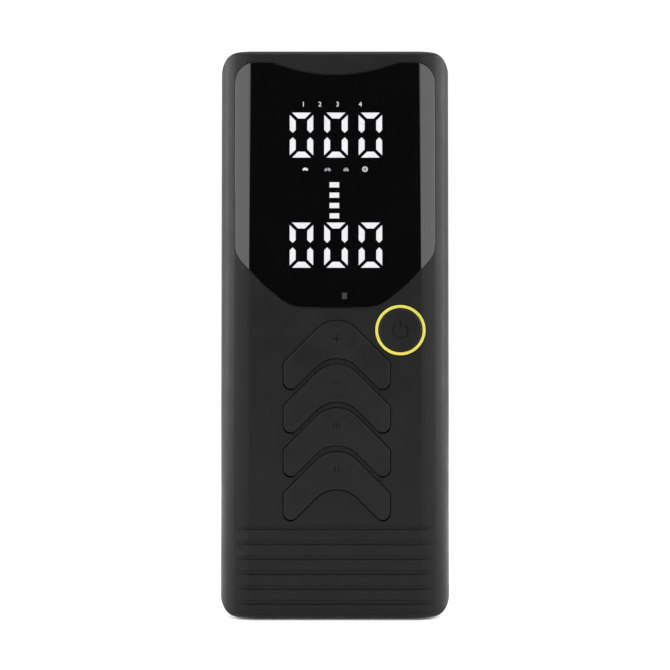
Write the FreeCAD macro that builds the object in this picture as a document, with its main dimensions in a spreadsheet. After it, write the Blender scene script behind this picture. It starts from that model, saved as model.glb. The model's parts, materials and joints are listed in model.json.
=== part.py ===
import FreeCAD, Part
import Sketcher
import math
import os
import re

# Jump starter pack with a built-in tyre pump, in millimetres.
# +Z is up, the front face looks along -Y, and the origin is the middle of the base.

SIZES = {
    "case_width": 81.4,
    "case_height": 200.0,
    "case_depth": 47.4,
    "key_proud": 0.6,
    "cap_proud": 0.6,
    "side_round": 11.5,
    "end_round": 7.6,
    "rim_round": 2.4,
    "wall": 2.4,
    "seam_place": 12.5,
    "seam_gap": 0.2,
    "cap_width": 63.0,
    "cap_depth": 31.0,
    "cap_round": 8.0,
    "cap_fit": 0.1,
    "foot_depth": 36.0,
    "lens_half": 35.2,
    "lens_thick": 1.5,
    "lens_fit": 0.15,
    "lens_top": 195.0,
    "lens_dip": 7.8,
    "lens_side_end": 127.7,
    "lens_bottom": 108.6,
    "digit_pitch": 12.08,
    "digit_width": 8.2,
    "digit_height": 15.8,
    "digit_upper": 161.5,
    "digit_lower": 122.85,
    "digit_shift": 0.33,
    "segment_thick": 2.05,
    "bar_low": 140.12,
    "bar_pitch": 3.63,
    "bar_wide": 3.35,
    "bar_tall": 1.8,
    "inlay_depth": 0.5,
    "inlay_proud": 0.04,
    "key_half": 18.55,
    "key_shift": 0.6,
    "key_crown": 108.3,
    "key_rise": 12.9,
    "key_pitch": 15.22,
    "key_gap": 0.18,
    "key_flange": 0.45,
    "key_middle": 8.0,
    "web_deep": 0.5,
    "web_drop": 2.6,
    "web_half": 15.0,
    "button_x": 22.85,
    "button_z": 101.0,
    "button_radius": 7.55,
    "ring_inner": 7.75,
    "ring_outer": 8.8,
    "ring_gap": 0.25,
    "groove_first": 6.25,
    "groove_pitch": 5.17,
    "groove_tall": 1.45,
    "groove_deep": 0.7,
    "groove_fade": 1.35,
    "door_low": 83.0,
    "door_tall": 28.0,
    "door_front": -10.0,
    "hinge_y": 10.0,
    "hinge_depth": 1.1,
    "hinge_pin": 0.6,
    "boss_x": 32.5,
    "boss_low": 8.6,
    "boss_high": 189.6,
    "boss_radius": 3.6,
    "post_radius": 4.8,
    "board_thick": 1.6,
    "board_y": -15.0,
    "cell_radius": 9.15,
    "cell_length": 65.0,
    "cell_pitch": 18.6,
    "cell_y": 10.6,
    "cell_low": 15.6,
    "crank_x": 10.0,
    "crank_z": 128.0,
    "crank_throw": 6.0,
    "gear_module": 0.8,
    "gear_teeth": 50.0,
    "pinion_teeth": 10.0,
    "window_reach": 11.5,
    "pump_y": 6.0,
    "bore_radius": 8.0,
    "rod_length": 29.0,
    "motor_radius": 12.0,
    "outlet_thread": 4.0,
    "outlet_depth": 11.0,
    "torch_x": -16.0,
    "torch_radius": 8.0,
}

MOTOR_X = "crank_x - gear_module * (gear_teeth + pinion_teeth) / 2"
WRIST_Z = "crank_z - crank_throw + rod_length"
FACE_Y = "key_proud / 2 - case_depth / 2"
KEY_FACE_Y = "0 - case_depth / 2 - key_proud / 2"
BEFORE_Y = "0 - 25"
GROOVES = 6
KEYS = ("key_up", "key_down", "key_mode", "key_light")
SIDES = ("", "0 - ")

doc = FreeCAD.newDocument("jump_starter")
sheet = doc.addObject("Spreadsheet::Sheet", "Sizes")
for row, (alias, amount) in enumerate(SIZES.items(), 1):
    sheet.set(f"A{row}", alias)
    sheet.set(f"B{row}", str(amount))
    sheet.setAlias(f"B{row}", alias)
doc.recompute()

WORDS = re.compile(r"[a-z_]+")
AXES = {
    "x": FreeCAD.Rotation(FreeCAD.Vector(0, 1, 0), 90),
    "y": FreeCAD.Rotation(FreeCAD.Vector(1, 0, 0), -90),
    "z": FreeCAD.Rotation(),
}
nodes = {}


def size(alias):
    """Return one driving dimension as it stands in the sheet."""
    return float(sheet.get(alias))


def formula(text):
    """Point each size named in a formula at its cell of the sheet."""
    def qualified(word):
        return "Sizes." + word.group() if word.group() in SIZES else word.group()
    return WORDS.sub(qualified, str(text))


def bind(feature, **formulas):
    """Bind properties of a feature to formulas in the sheet's sizes."""
    for name, text in formulas.items():
        feature.setExpression(name, formula(text))
    return feature


def place(feature, corner, turn="z"):
    """Turn a feature's own +Z to an axis and bind where it stands."""
    feature.Placement = FreeCAD.Placement(FreeCAD.Vector(), AXES[turn])
    for letter, text in zip("xyz", corner):
        feature.setExpression("Placement.Base." + letter, formula(text))
    return feature


def node(label, feature):
    """Keep a feature as one named sub-part."""
    feature.Label = label
    nodes[label] = feature
    return feature


def block(corner, span, name="block"):
    """Box from its low corner and its three spans."""
    box = bind(doc.addObject("Part::Box", name), Length=span[0], Width=span[1], Height=span[2])
    return place(box, corner)


def round_bar(start, axis, radius, length, name="round_bar"):
    """Cylinder that starts at a point and runs along +X, +Y or +Z."""
    bar = bind(doc.addObject("Part::Cylinder", name), Radius=radius, Height=length)
    return place(bar, start, axis)


def taper(start, axis, first, last, length, name="taper"):
    """Cone between two radii."""
    cone = bind(doc.addObject("Part::Cone", name), Radius1=first, Radius2=last, Height=length)
    return place(cone, start, axis)


def join(*pieces, name="join"):
    """One feature from several: they fuse where they meet and stay apart where they don't."""
    feature = doc.addObject("Part::MultiFuse", name)
    feature.Shapes = list(pieces)
    return feature


def cut(base, *tools, name="cut"):
    """Take the tools out of the base."""
    feature = doc.addObject("Part::Cut", name)
    feature.Base = base
    feature.Tool = tools[0] if len(tools) == 1 else join(*tools, name=name + "_tools")
    return feature


def overlap(*pieces, name="overlap"):
    """What several pieces share."""
    feature = doc.addObject("Part::MultiCommon", name)
    feature.Shapes = list(pieces)
    return feature


def origin_plane(body, role):
    """Find one of a body's own origin planes."""
    return next(plane for plane in body.Origin.OriginFeatures if plane.Role == role)


def new_sketch(body, role, name="outline"):
    """Start a sketch on one of a body's own origin planes."""
    sketch = body.newObject("Sketcher::SketchObject", name)
    sketch.AttachmentSupport = (origin_plane(body, role), [""])
    sketch.MapMode = "FlatFace"
    return sketch


def rounded_outline(corners):
    """Lines and arcs through corners given as (x, y, radius); radius 0 keeps a corner sharp."""
    points = [FreeCAD.Vector(x, y, 0) for x, y, radius in corners]
    spans = []
    for index, (x, y, radius) in enumerate(corners):
        here = points[index]
        back = (points[index - 1] - here).normalize()
        ahead = (points[(index + 1) % len(points)] - here).normalize()
        half_angle = back.getAngle(ahead) / 2
        reach = radius / math.tan(half_angle)
        inward = (back + ahead).normalize()
        middle = here + inward * (radius / math.sin(half_angle) - radius)
        spans.append((here + back * reach, middle, here + ahead * reach))
    edges = []
    for index, (start, middle, end) in enumerate(spans):
        if corners[index][2] > 0:
            edges.append(Part.Arc(start, middle, end))
        following = spans[(index + 1) % len(spans)][0]
        edges.append(Part.LineSegment(end, following))
    return edges


def padded_outline(label, role, outline, length, base, other_way=False):
    """Body padded from an outline on an origin plane."""
    body = doc.addObject("PartDesign::Body", label)
    sketch = new_sketch(body, role)
    sketch.addGeometry(outline, False)
    pad = body.newObject("PartDesign::Pad", "pad")
    pad.Profile = sketch
    pad.Reversed = other_way
    bind(pad, Length=length)
    place(body, base)
    return body


def turned(label, outline, base, turn="z"):
    """Body of revolution about its own +Z, from an outline of (radius, height) corners."""
    body = doc.addObject("PartDesign::Body", label)
    sketch = new_sketch(body, "XZ_Plane")
    sketch.addGeometry(rounded_outline(outline), False)
    spin = body.newObject("PartDesign::Revolution", "spin")
    spin.Profile = sketch
    spin.ReferenceAxis = (sketch, ["V_Axis"])
    spin.Angle = 360.0
    place(body, base, turn)
    return body


def rounded_prism(label, role, first, second, length, corner, base, rim=None):
    """Centred block with four rounded corners and, where asked, rounded end rims."""
    body = doc.addObject("PartDesign::Body", label)
    sketch = new_sketch(body, role)
    half = FreeCAD.Vector(20, 10, 0)
    ends = [(-1, -1), (1, -1), (1, 1), (-1, 1)]
    corners = [FreeCAD.Vector(half.x * x, half.y * y, 0) for x, y in ends]
    for index in range(4):
        sketch.addGeometry(Part.LineSegment(corners[index], corners[(index + 1) % 4]), False)
    for index in range(4):
        sketch.addConstraint(Sketcher.Constraint("Coincident", index, 2, (index + 1) % 4, 1))
        sketch.addConstraint(Sketcher.Constraint("Vertical" if index % 2 else "Horizontal", index))
    sketch.addConstraint(Sketcher.Constraint("Symmetric", 0, 1, 2, 1, -1, 1))
    wide = sketch.addConstraint(Sketcher.Constraint("DistanceX", 0, 1, 0, 2, 2 * half.x))
    tall = sketch.addConstraint(Sketcher.Constraint("DistanceY", 1, 1, 1, 2, 2 * half.y))
    sketch.setExpression(f"Constraints[{wide}]", formula(first))
    sketch.setExpression(f"Constraints[{tall}]", formula(second))
    pad = body.newObject("PartDesign::Pad", "pad")
    pad.Profile = sketch
    pad.Midplane = True
    bind(pad, Length=length)
    doc.recompute()
    normal = {"XY_Plane": "z", "XZ_Plane": "y", "YZ_Plane": "x"}[role]
    names = []
    for index, edge in enumerate(pad.Shape.Edges, 1):
        along = edge.Vertexes[-1].Point - edge.Vertexes[0].Point
        if abs(getattr(along, normal)) > 0.9 * along.Length:
            names.append(f"Edge{index}")
    last = body.newObject("PartDesign::Fillet", "corner_round")
    last.Base = (pad, names)
    bind(last, Radius=corner)
    doc.recompute()
    if rim:
        ends = max(getattr(vertex.Point, normal) for vertex in last.Shape.Vertexes)
        names = []
        for index, edge in enumerate(last.Shape.Edges, 1):
            if all(abs(abs(getattr(vertex.Point, normal)) - ends) < 0.01 for vertex in edge.Vertexes):
                names.append(f"Edge{index}")
        rounding = body.newObject("PartDesign::Fillet", "rim_round")
        rounding.Base = (last, names)
        bind(rounding, Radius=rim)
    place(body, base)
    return body


def case_block(label, inset):
    """Outer form of the case, drawn in on every side by an inset."""
    middle = "case_height / 2"
    tall = f"case_height - 2 * cap_proud - 2 * ({inset})"
    section = rounded_prism(label + "_section", "XY_Plane", f"case_width - 2 * ({inset})",
                            f"case_depth - 2 * ({inset})", tall, f"side_round - ({inset})",
                            ("0", "key_proud / 2", middle), f"rim_round - ({inset}) * 0.5")
    elevation = rounded_prism(label + "_elevation", "XZ_Plane", f"case_width - 2 * ({inset})", tall,
                              "case_depth * 2", f"end_round - ({inset})", ("0", "0", middle))
    return overlap(section, elevation, name=label)


def lens_corners(margin):
    """Corners of the display window's outline, grown by a margin."""
    half = size("lens_half") + margin
    top = size("lens_top") + margin
    low = size("lens_bottom") - margin
    side = size("lens_side_end")
    dip_half, flank, flank_drop, foot_half = 22.0, 25.0 + margin * 0.7, 11.2 + margin * 0.7, 15.4
    right = [
        (dip_half, top, 5.0), (half, top, 7.0), (half, side, 10.0),
        (flank, side - flank_drop, 40.0), (foot_half, low + 0.3, 13.0),
    ]
    left = [(-x, z, radius) for x, z, radius in reversed(right)]
    return [(0.0, top - size("lens_dip"), 58.0)] + right + [(0.0, low, 150.0)] + left


def key_corners(index, margin):
    """Corners of one roof-shaped key's outline, grown by a margin; index 0 is the top key."""
    half = size("key_half") + margin
    crown = size("key_crown") - index * size("key_pitch") + margin * math.sqrt(2)
    inner = crown - size("key_rise") - 2 * margin * math.sqrt(2)
    middle = size("key_shift")
    tip = inner - half
    crown_round, shoulder_round, tip_round, inner_round = 9.6 + margin, 1.2 + margin, 2.6, 10.3 - margin
    return [
        (middle, crown, crown_round), (middle + half, crown - half, shoulder_round),
        (middle + half, tip, tip_round), (middle, inner, inner_round),
        (middle - half, tip, tip_round), (middle - half, crown - half, shoulder_round),
    ]


def front_pad(label, corners, face, length):
    """Body padded back from a plane y = face, from an outline seen from the front."""
    return padded_outline(label, "XZ_Plane", rounded_outline(corners), length, ("0", face, "0"), True)


def case_skin(label, corners, proud, deep):
    """What an outline seen from the front cuts out of the case's skin, from proud to deep of its face."""
    outer = case_block(label + "_outer", f"0 - ({proud})")
    inner = case_block(label + "_inner", deep)
    column = front_pad(label + "_column", corners, "0 - case_depth", "case_depth")
    return cut(overlap(column, outer), inner, name=label)


def digit_segments():
    """The six lit segments of each zero, in two rows of three."""
    pieces = []
    wide = size("digit_width")
    tall = size("digit_height")
    thick = size("segment_thick")
    bar_inset, bar_slope = 0.82, 2.08
    post_start, post_slope = 0.84, 2.02
    waist_gap = 0.8
    for row in ("digit_lower", "digit_upper"):
        for column in (-1, 0, 1):
            left = size("digit_shift") + column * size("digit_pitch") - wide / 2
            low = size(row)
            for flip in (False, True):
                base = low + tall if flip else low
                way = -1 if flip else 1
                inner = base + way * thick
                bar = [(left + bar_inset, base), (left + wide - bar_inset, base),
                       (left + wide - bar_inset - bar_slope, inner), (left + bar_inset + bar_slope, inner)]
                pieces.append(bar)
                for right in (False, True):
                    edge = left + wide if right else left
                    side = -1 if right else 1
                    tip = base + way * (tall / 2 - waist_gap)
                    waist = tip - way * thick / 2
                    pieces.append([
                        (edge, base + way * post_start),
                        (edge + side * thick, base + way * (post_start + post_slope)),
                        (edge + side * thick, waist), (edge + side * thick / 2, tip), (edge, waist),
                    ])
    return pieces


def end_openings(label):
    """Tools that open the top and the base of the case for the two caps."""
    wide = "cap_width + 2 * cap_fit"
    top = rounded_prism(label + "_top_opening", "XY_Plane", wide, "cap_depth + 2 * cap_fit", "8",
                        "cap_round + cap_fit", ("0", "0.6", "case_height"))
    base = rounded_prism(label + "_base_opening", "XY_Plane", wide, "foot_depth + 2 * cap_fit", "8",
                         "cap_round + cap_fit", ("0", "0", "0 - 0.5"))
    return [top, base]


def groove_bands(half, low, deep):
    """One block for each grip groove, all as wide as twice a half width, from a plane y = low."""
    bands = []
    for index in range(GROOVES):
        height = f"groove_first + {index} * groove_pitch - groove_tall / 2"
        bands.append(block((f"0 - {half}", low, height), (f"2 * {half}", deep, "groove_tall")))
    return bands


def door_openings():
    """Tools that open both sides of the case for the doors, their hinge pins and a finger notch."""
    tools = []
    low = "door_low - 0.25"
    span = ("8", "hinge_y + 1.6 - door_front + 0.25", "door_tall + 0.5")
    for right in (True, False):
        edge = "case_width / 2 - 4" if right else "0 - case_width / 2 - 4"
        axis = "case_width / 2 - hinge_depth" if right else "0 - case_width / 2 + hinge_depth"
        notch = "case_width / 2 - 0.9" if right else "0 - case_width / 2 - 3.1"
        tools.append(block((edge, "door_front - 0.25", low), span))
        tools.append(round_bar((axis, "hinge_y", "door_low - 2.5"), "z", "hinge_pin + 0.02", "door_tall + 5"))
        tools.append(block((notch, "door_front - 2.6", "door_low + 8"), ("4", "3", "12")))
    return tools


def front_shell():
    """Deep front half of the case: window recess, key and button holes, grip grooves and bosses."""
    tub = cut(case_block("case_outer", "0"), case_block("case_inner", "wall"), name="case_tub")
    half = overlap(tub, block(("0 - case_width", "0 - case_depth", "0 - 1"),
                              ("case_width * 2", "case_depth + seam_place", "case_height + 2")))
    bosses = []
    screw_places = [(f"{side}boss_x", height) for side in SIDES for height in ("boss_low", "boss_high")]
    for across, height in screw_places:
        bosses.append(round_bar((across, "0 - 20.6", height), "y", "boss_radius", "20.6 + seam_place"))
    fit = size("lens_fit")
    tools = [case_skin("window_recess", lens_corners(fit), 1, size("lens_thick") + fit)]
    tools.append(block(("0 - 27.5", "0 - 22", "118"), ("55", "7", "66")))
    web_reach = "25 - (case_depth - key_proud) / 2 + web_deep"
    for index in range(len(KEYS) - 1):
        web = [(x, z - size("web_drop"), radius) for x, z, radius in key_corners(index, 0)]
        between = block(("key_shift - web_half", BEFORE_Y, "0"), ("2 * web_half", "5", "case_height"))
        tools.append(overlap(front_pad(f"key_web_{index}", web, BEFORE_Y, web_reach), between))
    for index in range(len(KEYS)):
        tools.append(front_pad(f"key_hole_{index}", key_corners(index, size("key_gap")), BEFORE_Y, "5"))
    button = ("button_x", BEFORE_Y, "button_z")
    tools.append(round_bar(button, "y", "ring_outer + ring_gap", "25 - 22.2"))
    tools.append(round_bar(button, "y", "ring_inner", "6"))
    floor = rounded_prism("groove_floor", "XY_Plane", "case_width + 2 * groove_fade",
                          "case_depth - 2 * groove_deep", "case_height", "side_round",
                          ("0", "key_proud / 2", "case_height / 2"))
    tools.append(cut(join(*groove_bands("case_width / 2", BEFORE_Y, "14")), floor, name="grip_grooves"))
    tools.extend(door_openings())
    tools.extend(end_openings("front"))
    for across, height in screw_places:
        tools.append(round_bar((across, "seam_place - 14", height), "y", "1.2", "15"))
    node("front_shell", cut(join(half, *bosses), *tools, name="front_shell"))


def rear_cover():
    """Shallow back cover with counterbored screw posts and a field of vent slots."""
    outer = case_block("cover_outer", "0")
    tub = cut(outer, case_block("cover_inner", "wall"), name="cover_tub")
    behind = block(("0 - case_width", "seam_place + seam_gap", "0 - 1"),
                   ("case_width * 2", "case_depth", "case_height + 2"))
    posts = []
    tools = []
    for across in (f"{side}boss_x" for side in SIDES):
        for height in ("boss_low", "boss_high"):
            posts.append(round_bar((across, "seam_place + seam_gap", height), "y", "post_radius", "10"))
            tools.append(round_bar((across, "seam_place", height), "y", "1.7", "20"))
            tools.append(round_bar((across, "seam_place + 3.5", height), "y", "3.2", "20"))
    body = overlap(join(overlap(tub, behind), *posts), case_block("cover_trim", "0"), name="cover_body")
    for row in range(9):
        for column in (-1, 1):
            low = f"122 + {row} * 5"
            tools.append(block((f"{column} * 15 - 11", "15", low), ("22", "12", "2")))
    tools.extend(groove_bands("27", "case_depth / 2 + key_proud / 2 - 1", "4"))
    tools.extend(end_openings("rear"))
    node("rear_cover", cut(body, *tools, name="rear_cover"))


def end_caps():
    """Top cap round the air outlet and torch, and the rubber base that the pack stands on."""
    cap = rounded_prism("cap_plate", "XY_Plane", "cap_width", "cap_depth", "3.6", "cap_round",
                        ("0", "0.6", "case_height - 1.8"), "0.7")
    node("top_cap", cut(cap, round_bar(("crank_x", "pump_y", "case_height - 6"), "z", "6.4", "9"),
                        round_bar(("torch_x", "0", "case_height - 6"), "z", "torch_radius + 0.1", "9"),
                        name="top_cap"))
    foot = rounded_prism("foot_plate", "XY_Plane", "cap_width", "foot_depth", "3.4", "cap_round",
                         ("0", "0", "1.7"), "0.6")
    ribs = [block((f"0 - 26 + {column} * 13", "0 - 14", "0 - 0.6"), ("1.6", "28", "1"))
            for column in range(5)]
    node("base_cap", cut(foot, *ribs, name="base_cap"))


def display():
    """Smoked window, lit digit windows set into it, charge bars, symbols, and the lamp tray behind."""
    lens = case_skin("lens_blank", lens_corners(0), 0, size("lens_thick"))
    depth = size("inlay_depth")
    face = FACE_Y + " - inlay_proud"
    front = -(size("case_depth") - size("key_proud")) / 2 - size("inlay_proud")
    segments = []
    for piece in digit_segments():
        wire = Part.makePolygon([FreeCAD.Vector(x, 0, z) for x, z in piece + piece[:1]])
        segments.append(Part.Face(wire).extrude(FreeCAD.Vector(0, depth, 0)))
    digits = doc.addObject("Part::Feature", "display_digits")
    digits.Shape = Part.makeCompound(segments)
    digits.Placement = FreeCAD.Placement(FreeCAD.Vector(0, front, 0), FreeCAD.Rotation())
    bars = [block(("0 - 0.22 - bar_wide / 2", face, f"bar_low + {row} * bar_pitch"),
                  ("bar_wide", "inlay_depth", "bar_tall")) for row in range(4)]
    node("display_digits", digits)
    node("charge_bars", join(*bars, name="charge_bars"))
    node("display_lens", cut(lens, digits, nodes["charge_bars"], name="display_lens"))
    tray = block(("0 - 27", "0 - 21.6", "118.4"), ("54", "6.4", "65.2"))
    node("lamp_tray", cut(tray, block(("0 - 26", "0 - 22", "119.4"), ("52", "5", "63.2")), name="lamp_tray"))
    node("display_panel", block(("0 - 25.8", "0 - 21.5", "119.6"), ("51.6", "1.1", "62.8"),
                                name="display_panel"))


def keys():
    """Four roof-shaped keys, the round power button and the yellow ring about it."""
    for index, name in enumerate(KEYS):
        cap = front_pad(name + "_cap", key_corners(index, 0), KEY_FACE_Y, "4.2")
        flange = front_pad(name + "_flange", key_corners(index, size("key_flange")), "0 - 20.6", "0.8")
        middle = ("key_shift", "0 - 20", f"key_crown - key_middle - {index} * key_pitch")
        plunger = round_bar(middle, "y", "1.8", "0.8")
        node(name, join(cap, flange, plunger, name=name))
    rim = size("button_radius")
    flange = rim + 0.75
    button = turned("power_button", [(0, 0, 0), (rim - 0.3, 0, 0), (rim, 0.3, 0), (rim, 3.5, 0), (flange, 3.5, 0),
                                     (flange, 4.2, 0), (1.8, 4.2, 0), (1.8, 4.8, 0), (0, 4.8, 0)],
                    ("button_x", KEY_FACE_Y, "button_z"), "y")
    node("power_button", button)
    blank = cut(round_bar(("button_x", KEY_FACE_Y, "button_z"), "y", "ring_outer", "1.75"),
                round_bar(("button_x", BEFORE_Y, "button_z"), "y", "ring_inner", "4"))
    node("power_ring", overlap(blank, case_block("ring_trim", "0 - 0.25"), name="power_ring"))


def control_board():
    """Board behind the display and keys, with one push switch under each."""
    plate = rounded_prism("control_board", "XZ_Plane", "68", "130", "board_thick", "2",
                          ("0", "board_y + board_thick / 2", "118"))
    node("control_board", plate)
    spots = [("key_shift", f"key_crown - key_middle - {index} * key_pitch") for index in range(len(KEYS))]
    spots.append(("button_x", "button_z"))
    switches = []
    for across, high in spots:
        case = block((f"{across} - 3", "board_y - 2.4", f"{high} - 3"), ("6", "2.4", "6"))
        stem = round_bar((across, "board_y - 3.3", high), "y", "1.7", "1.5")
        switches.append(join(case, stem))
    node("push_switches", join(*switches, name="push_switches"))
    behind = "board_y + board_thick"
    node("processor", block(("0 - 6", behind, "88"), ("12", "1.4", "12"), name="processor"))
    screws = [round_bar((f"{side} * 31", behind, "58"), "y", "2", "1.4") for side in (-1, 1)]
    node("board_screws", join(*screws, name="board_screws"))


def battery():
    """Row of four round cells between two holders, with welded strips across their ends."""
    def cells(radius, low, tall):
        return [round_bar((f"cell_pitch * {spot}", "cell_y", low), "z", radius, tall)
                for spot in (-1.5, -0.5, 0.5, 1.5)]
    below = "cell_low - 0.32"
    above = "cell_low + cell_length + 0.02"
    strip_places = ((-1, below), (1, below), (0, above))
    node("battery_cells", join(*cells("cell_radius", "cell_low", "cell_length"), name="battery_cells"))
    holder_places = (("cell_holder_lower", "cell_low - 2"), ("cell_holder_upper", "cell_low + cell_length - 4"))
    for name, low in holder_places:
        plate = rounded_prism(name + "_plate", "XY_Plane", "cell_pitch * 4 + 1", "cell_radius * 2 + 2.2", "6",
                              "9", ("0", "cell_y", f"{low} + 3"))
        keep = cells("7", f"{low} - 1", "8")
        seat = cells("cell_radius + 0.02", "cell_low - 0.02", "cell_length + 0.04")
        channels = []
        for spot, level in strip_places:
            corner = (f"cell_pitch * {spot} - 12.6", "cell_y - 3.1", f"{level} - 0.05")
            channels.append(block(corner, ("25.2", "6.2", "0.4")))
        node(name, cut(plate, *keep, *seat, *channels, name=name))
    strips = []
    for spot, level in strip_places:
        strips.append(block((f"cell_pitch * {spot} - 12.5", "cell_y - 3", level), ("25", "6", "0.3")))
    node("bus_strips", join(*strips, name="bus_strips"))


def power_board():
    """Main board in front of the cells, with relay, coil and heat sink."""
    plate = rounded_prism("main_board", "XZ_Plane", "71", "66", "board_thick", "2", ("0", "0 - 8.2", "48"))
    node("main_board", plate)
    face = "0 - 8.2 + board_thick / 2"
    node("start_relay", block(("8", face, "56"), ("20", "7", "16"), name="start_relay"))
    base = block(("0 - 30", face, "52"), ("26", "1.6", "22"))
    fins = [block((f"0 - 30 + {fin} * 4", face, "52"), ("1.2", "6.5", "22")) for fin in range(7)]
    node("heat_sink", join(base, *fins, name="heat_sink"))
    ring = turned("coil", [(2.2, 0, 1), (5.5, 0, 1), (5.5, 5.6, 1), (2.2, 5.6, 1)],
                  ("0 - 18", face, "32"), "y")
    node("choke_coil", ring)
    cans = [round_bar((f"4 + {spot} * 9", face, "28"), "y", "3.9", "6.8") for spot in range(3)]
    node("capacitors", join(*cans, name="capacitors"))


def sockets():
    """Jump lead socket on the left and the two charging sockets on the right, behind their doors."""
    low = "door_low + 3.5"
    housing = block(("0 - 37.6", "0 - 8.6", low), ("20", "17", "21"))
    hollow = block(("0 - 38", "0 - 6.6", f"{low} + 1.6"), ("13.4", "13", "17.8"))
    levels = [f"door_low + 14 + {side} * 5.2" for side in (-1, 1)]
    holes = [round_bar(("0 - 25", "0 - 0.1", level), "x", "2.4", "8") for level in levels]
    node("jump_socket", cut(housing, hollow, *holes, name="jump_socket"))
    tubes = []
    for level in levels:
        tube = cut(round_bar(("0 - 35.5", "0 - 0.1", level), "x", "2.4", "20"),
                   round_bar(("0 - 36", "0 - 0.1", level), "x", "1.7", "10"))
        tubes.append(tube)
    node("jump_terminals", join(*tubes, name="jump_terminals"))
    board = block(("20", "4.6", "door_low + 1"), ("17.4", "board_thick", "25.5"), name="usb_board")
    node("usb_board", board)
    shell = block(("24", "0 - 2.5", "door_low + 11.6"), ("13.6", "7", "14.4"))
    wide_shell = cut(shell, block(("25", "0 - 1.9", "door_low + 12.4"), ("13", "5.8", "12.8")))
    wide_tongue = block(("24.5", "1.7", "door_low + 13.2"), ("11.5", "1.8", "11.2"))
    node("usb_wide_socket", join(wide_shell, wide_tongue, name="usb_wide_socket"))
    slim = rounded_prism("usb_slim_blank", "YZ_Plane", "3.4", "9", "8", "1.65",
                         ("33.6", "2.85", "door_low + 5.8"))
    bore = rounded_prism("usb_slim_bore", "YZ_Plane", "2.8", "8.4", "8", "1.35",
                         ("34.6", "2.85", "door_low + 5.8"))
    tongue = block(("30", "2.5", "door_low + 2.6"), ("6.5", "0.7", "6.4"))
    node("usb_slim_socket", join(cut(slim, bore), tongue, name="usb_slim_socket"))


def door(name, side):
    """Flush side door with a hinge barrel along its rear edge, and the steel pin through it."""
    inner = "case_width / 2 - 2.2" if side > 0 else "0 - case_width / 2"
    axis = "case_width / 2 - hinge_depth" if side > 0 else "0 - case_width / 2 + hinge_depth"
    plate = rounded_prism(name + "_plate", "YZ_Plane", "hinge_y - door_front", "door_tall", "2.2", "0.8",
                          (axis, "(hinge_y + door_front) / 2", "door_low + door_tall / 2"))
    barrel = round_bar((axis, "hinge_y", "door_low"), "z", "hinge_depth", "door_tall")
    bead_x = "case_width / 2 - 3.6" if side > 0 else "0 - case_width / 2 + 2.2"
    bead = block((bead_x, "door_front + 0.6", "door_low + 9"), ("1.5", "0.6", "10"))
    bore = round_bar((axis, "hinge_y", "door_low - 1"), "z", "hinge_pin + 0.05", "door_tall + 2")
    node(name, cut(join(plate, barrel, bead), bore, name=name))
    node(name + "_pin", round_bar((axis, "hinge_y", "door_low - 2.2"), "z", "hinge_pin", "door_tall + 4.4",
                                  name=name + "_pin"))


def toothed_wheel(label, teeth, width, base, phase):
    """Spur wheel: a root disc, one slim tooth and its polar copies, about +Z turned to +Y."""
    body = doc.addObject("PartDesign::Body", label)
    scale = size("gear_module")
    root = scale * (teeth / 2 - 1.25)
    tip = scale * (teeth / 2 + 0.85)
    pitch = scale * teeth / 2
    disc_sketch = new_sketch(body, "XY_Plane", "disc")
    disc_sketch.addGeometry(Part.Circle(FreeCAD.Vector(), FreeCAD.Vector(0, 0, 1), root), False)
    disc_sketch.addConstraint(Sketcher.Constraint("Coincident", 0, 3, -1, 1))
    radius = disc_sketch.addConstraint(Sketcher.Constraint("Radius", 0, root))
    disc_sketch.setExpression(f"Constraints[{radius}]", formula(f"gear_module * ({teeth} / 2 - 1.25)"))
    disc = body.newObject("PartDesign::Pad", "disc_pad")
    disc.Profile = disc_sketch
    disc.Length = width
    tooth_sketch = new_sketch(body, "XY_Plane", "tooth")
    half_root, half_pitch, half_tip = 0.62, 0.46, 0.2
    flank = [(-half_root, root - 0.3), (half_root, root - 0.3), (half_pitch, pitch), (half_tip, tip),
             (-half_tip, tip), (-half_pitch, pitch)]
    turn = FreeCAD.Rotation(FreeCAD.Vector(0, 0, 1), phase)
    points = [turn.multVec(FreeCAD.Vector(x, y, 0)) for x, y in flank]
    for index, point in enumerate(points):
        tooth_sketch.addGeometry(Part.LineSegment(point, points[(index + 1) % len(points)]), False)
    tooth = body.newObject("PartDesign::Pad", "tooth_pad")
    tooth.Profile = tooth_sketch
    tooth.Length = width
    doc.recompute()
    pattern = body.newObject("PartDesign::PolarPattern", "teeth")
    pattern.Originals = [tooth]
    pattern.Axis = (disc_sketch, ["N_Axis"])
    pattern.Angle = 360.0
    pattern.Occurrences = teeth
    body.Tip = pattern
    place(body, base, "y")
    return body


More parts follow.
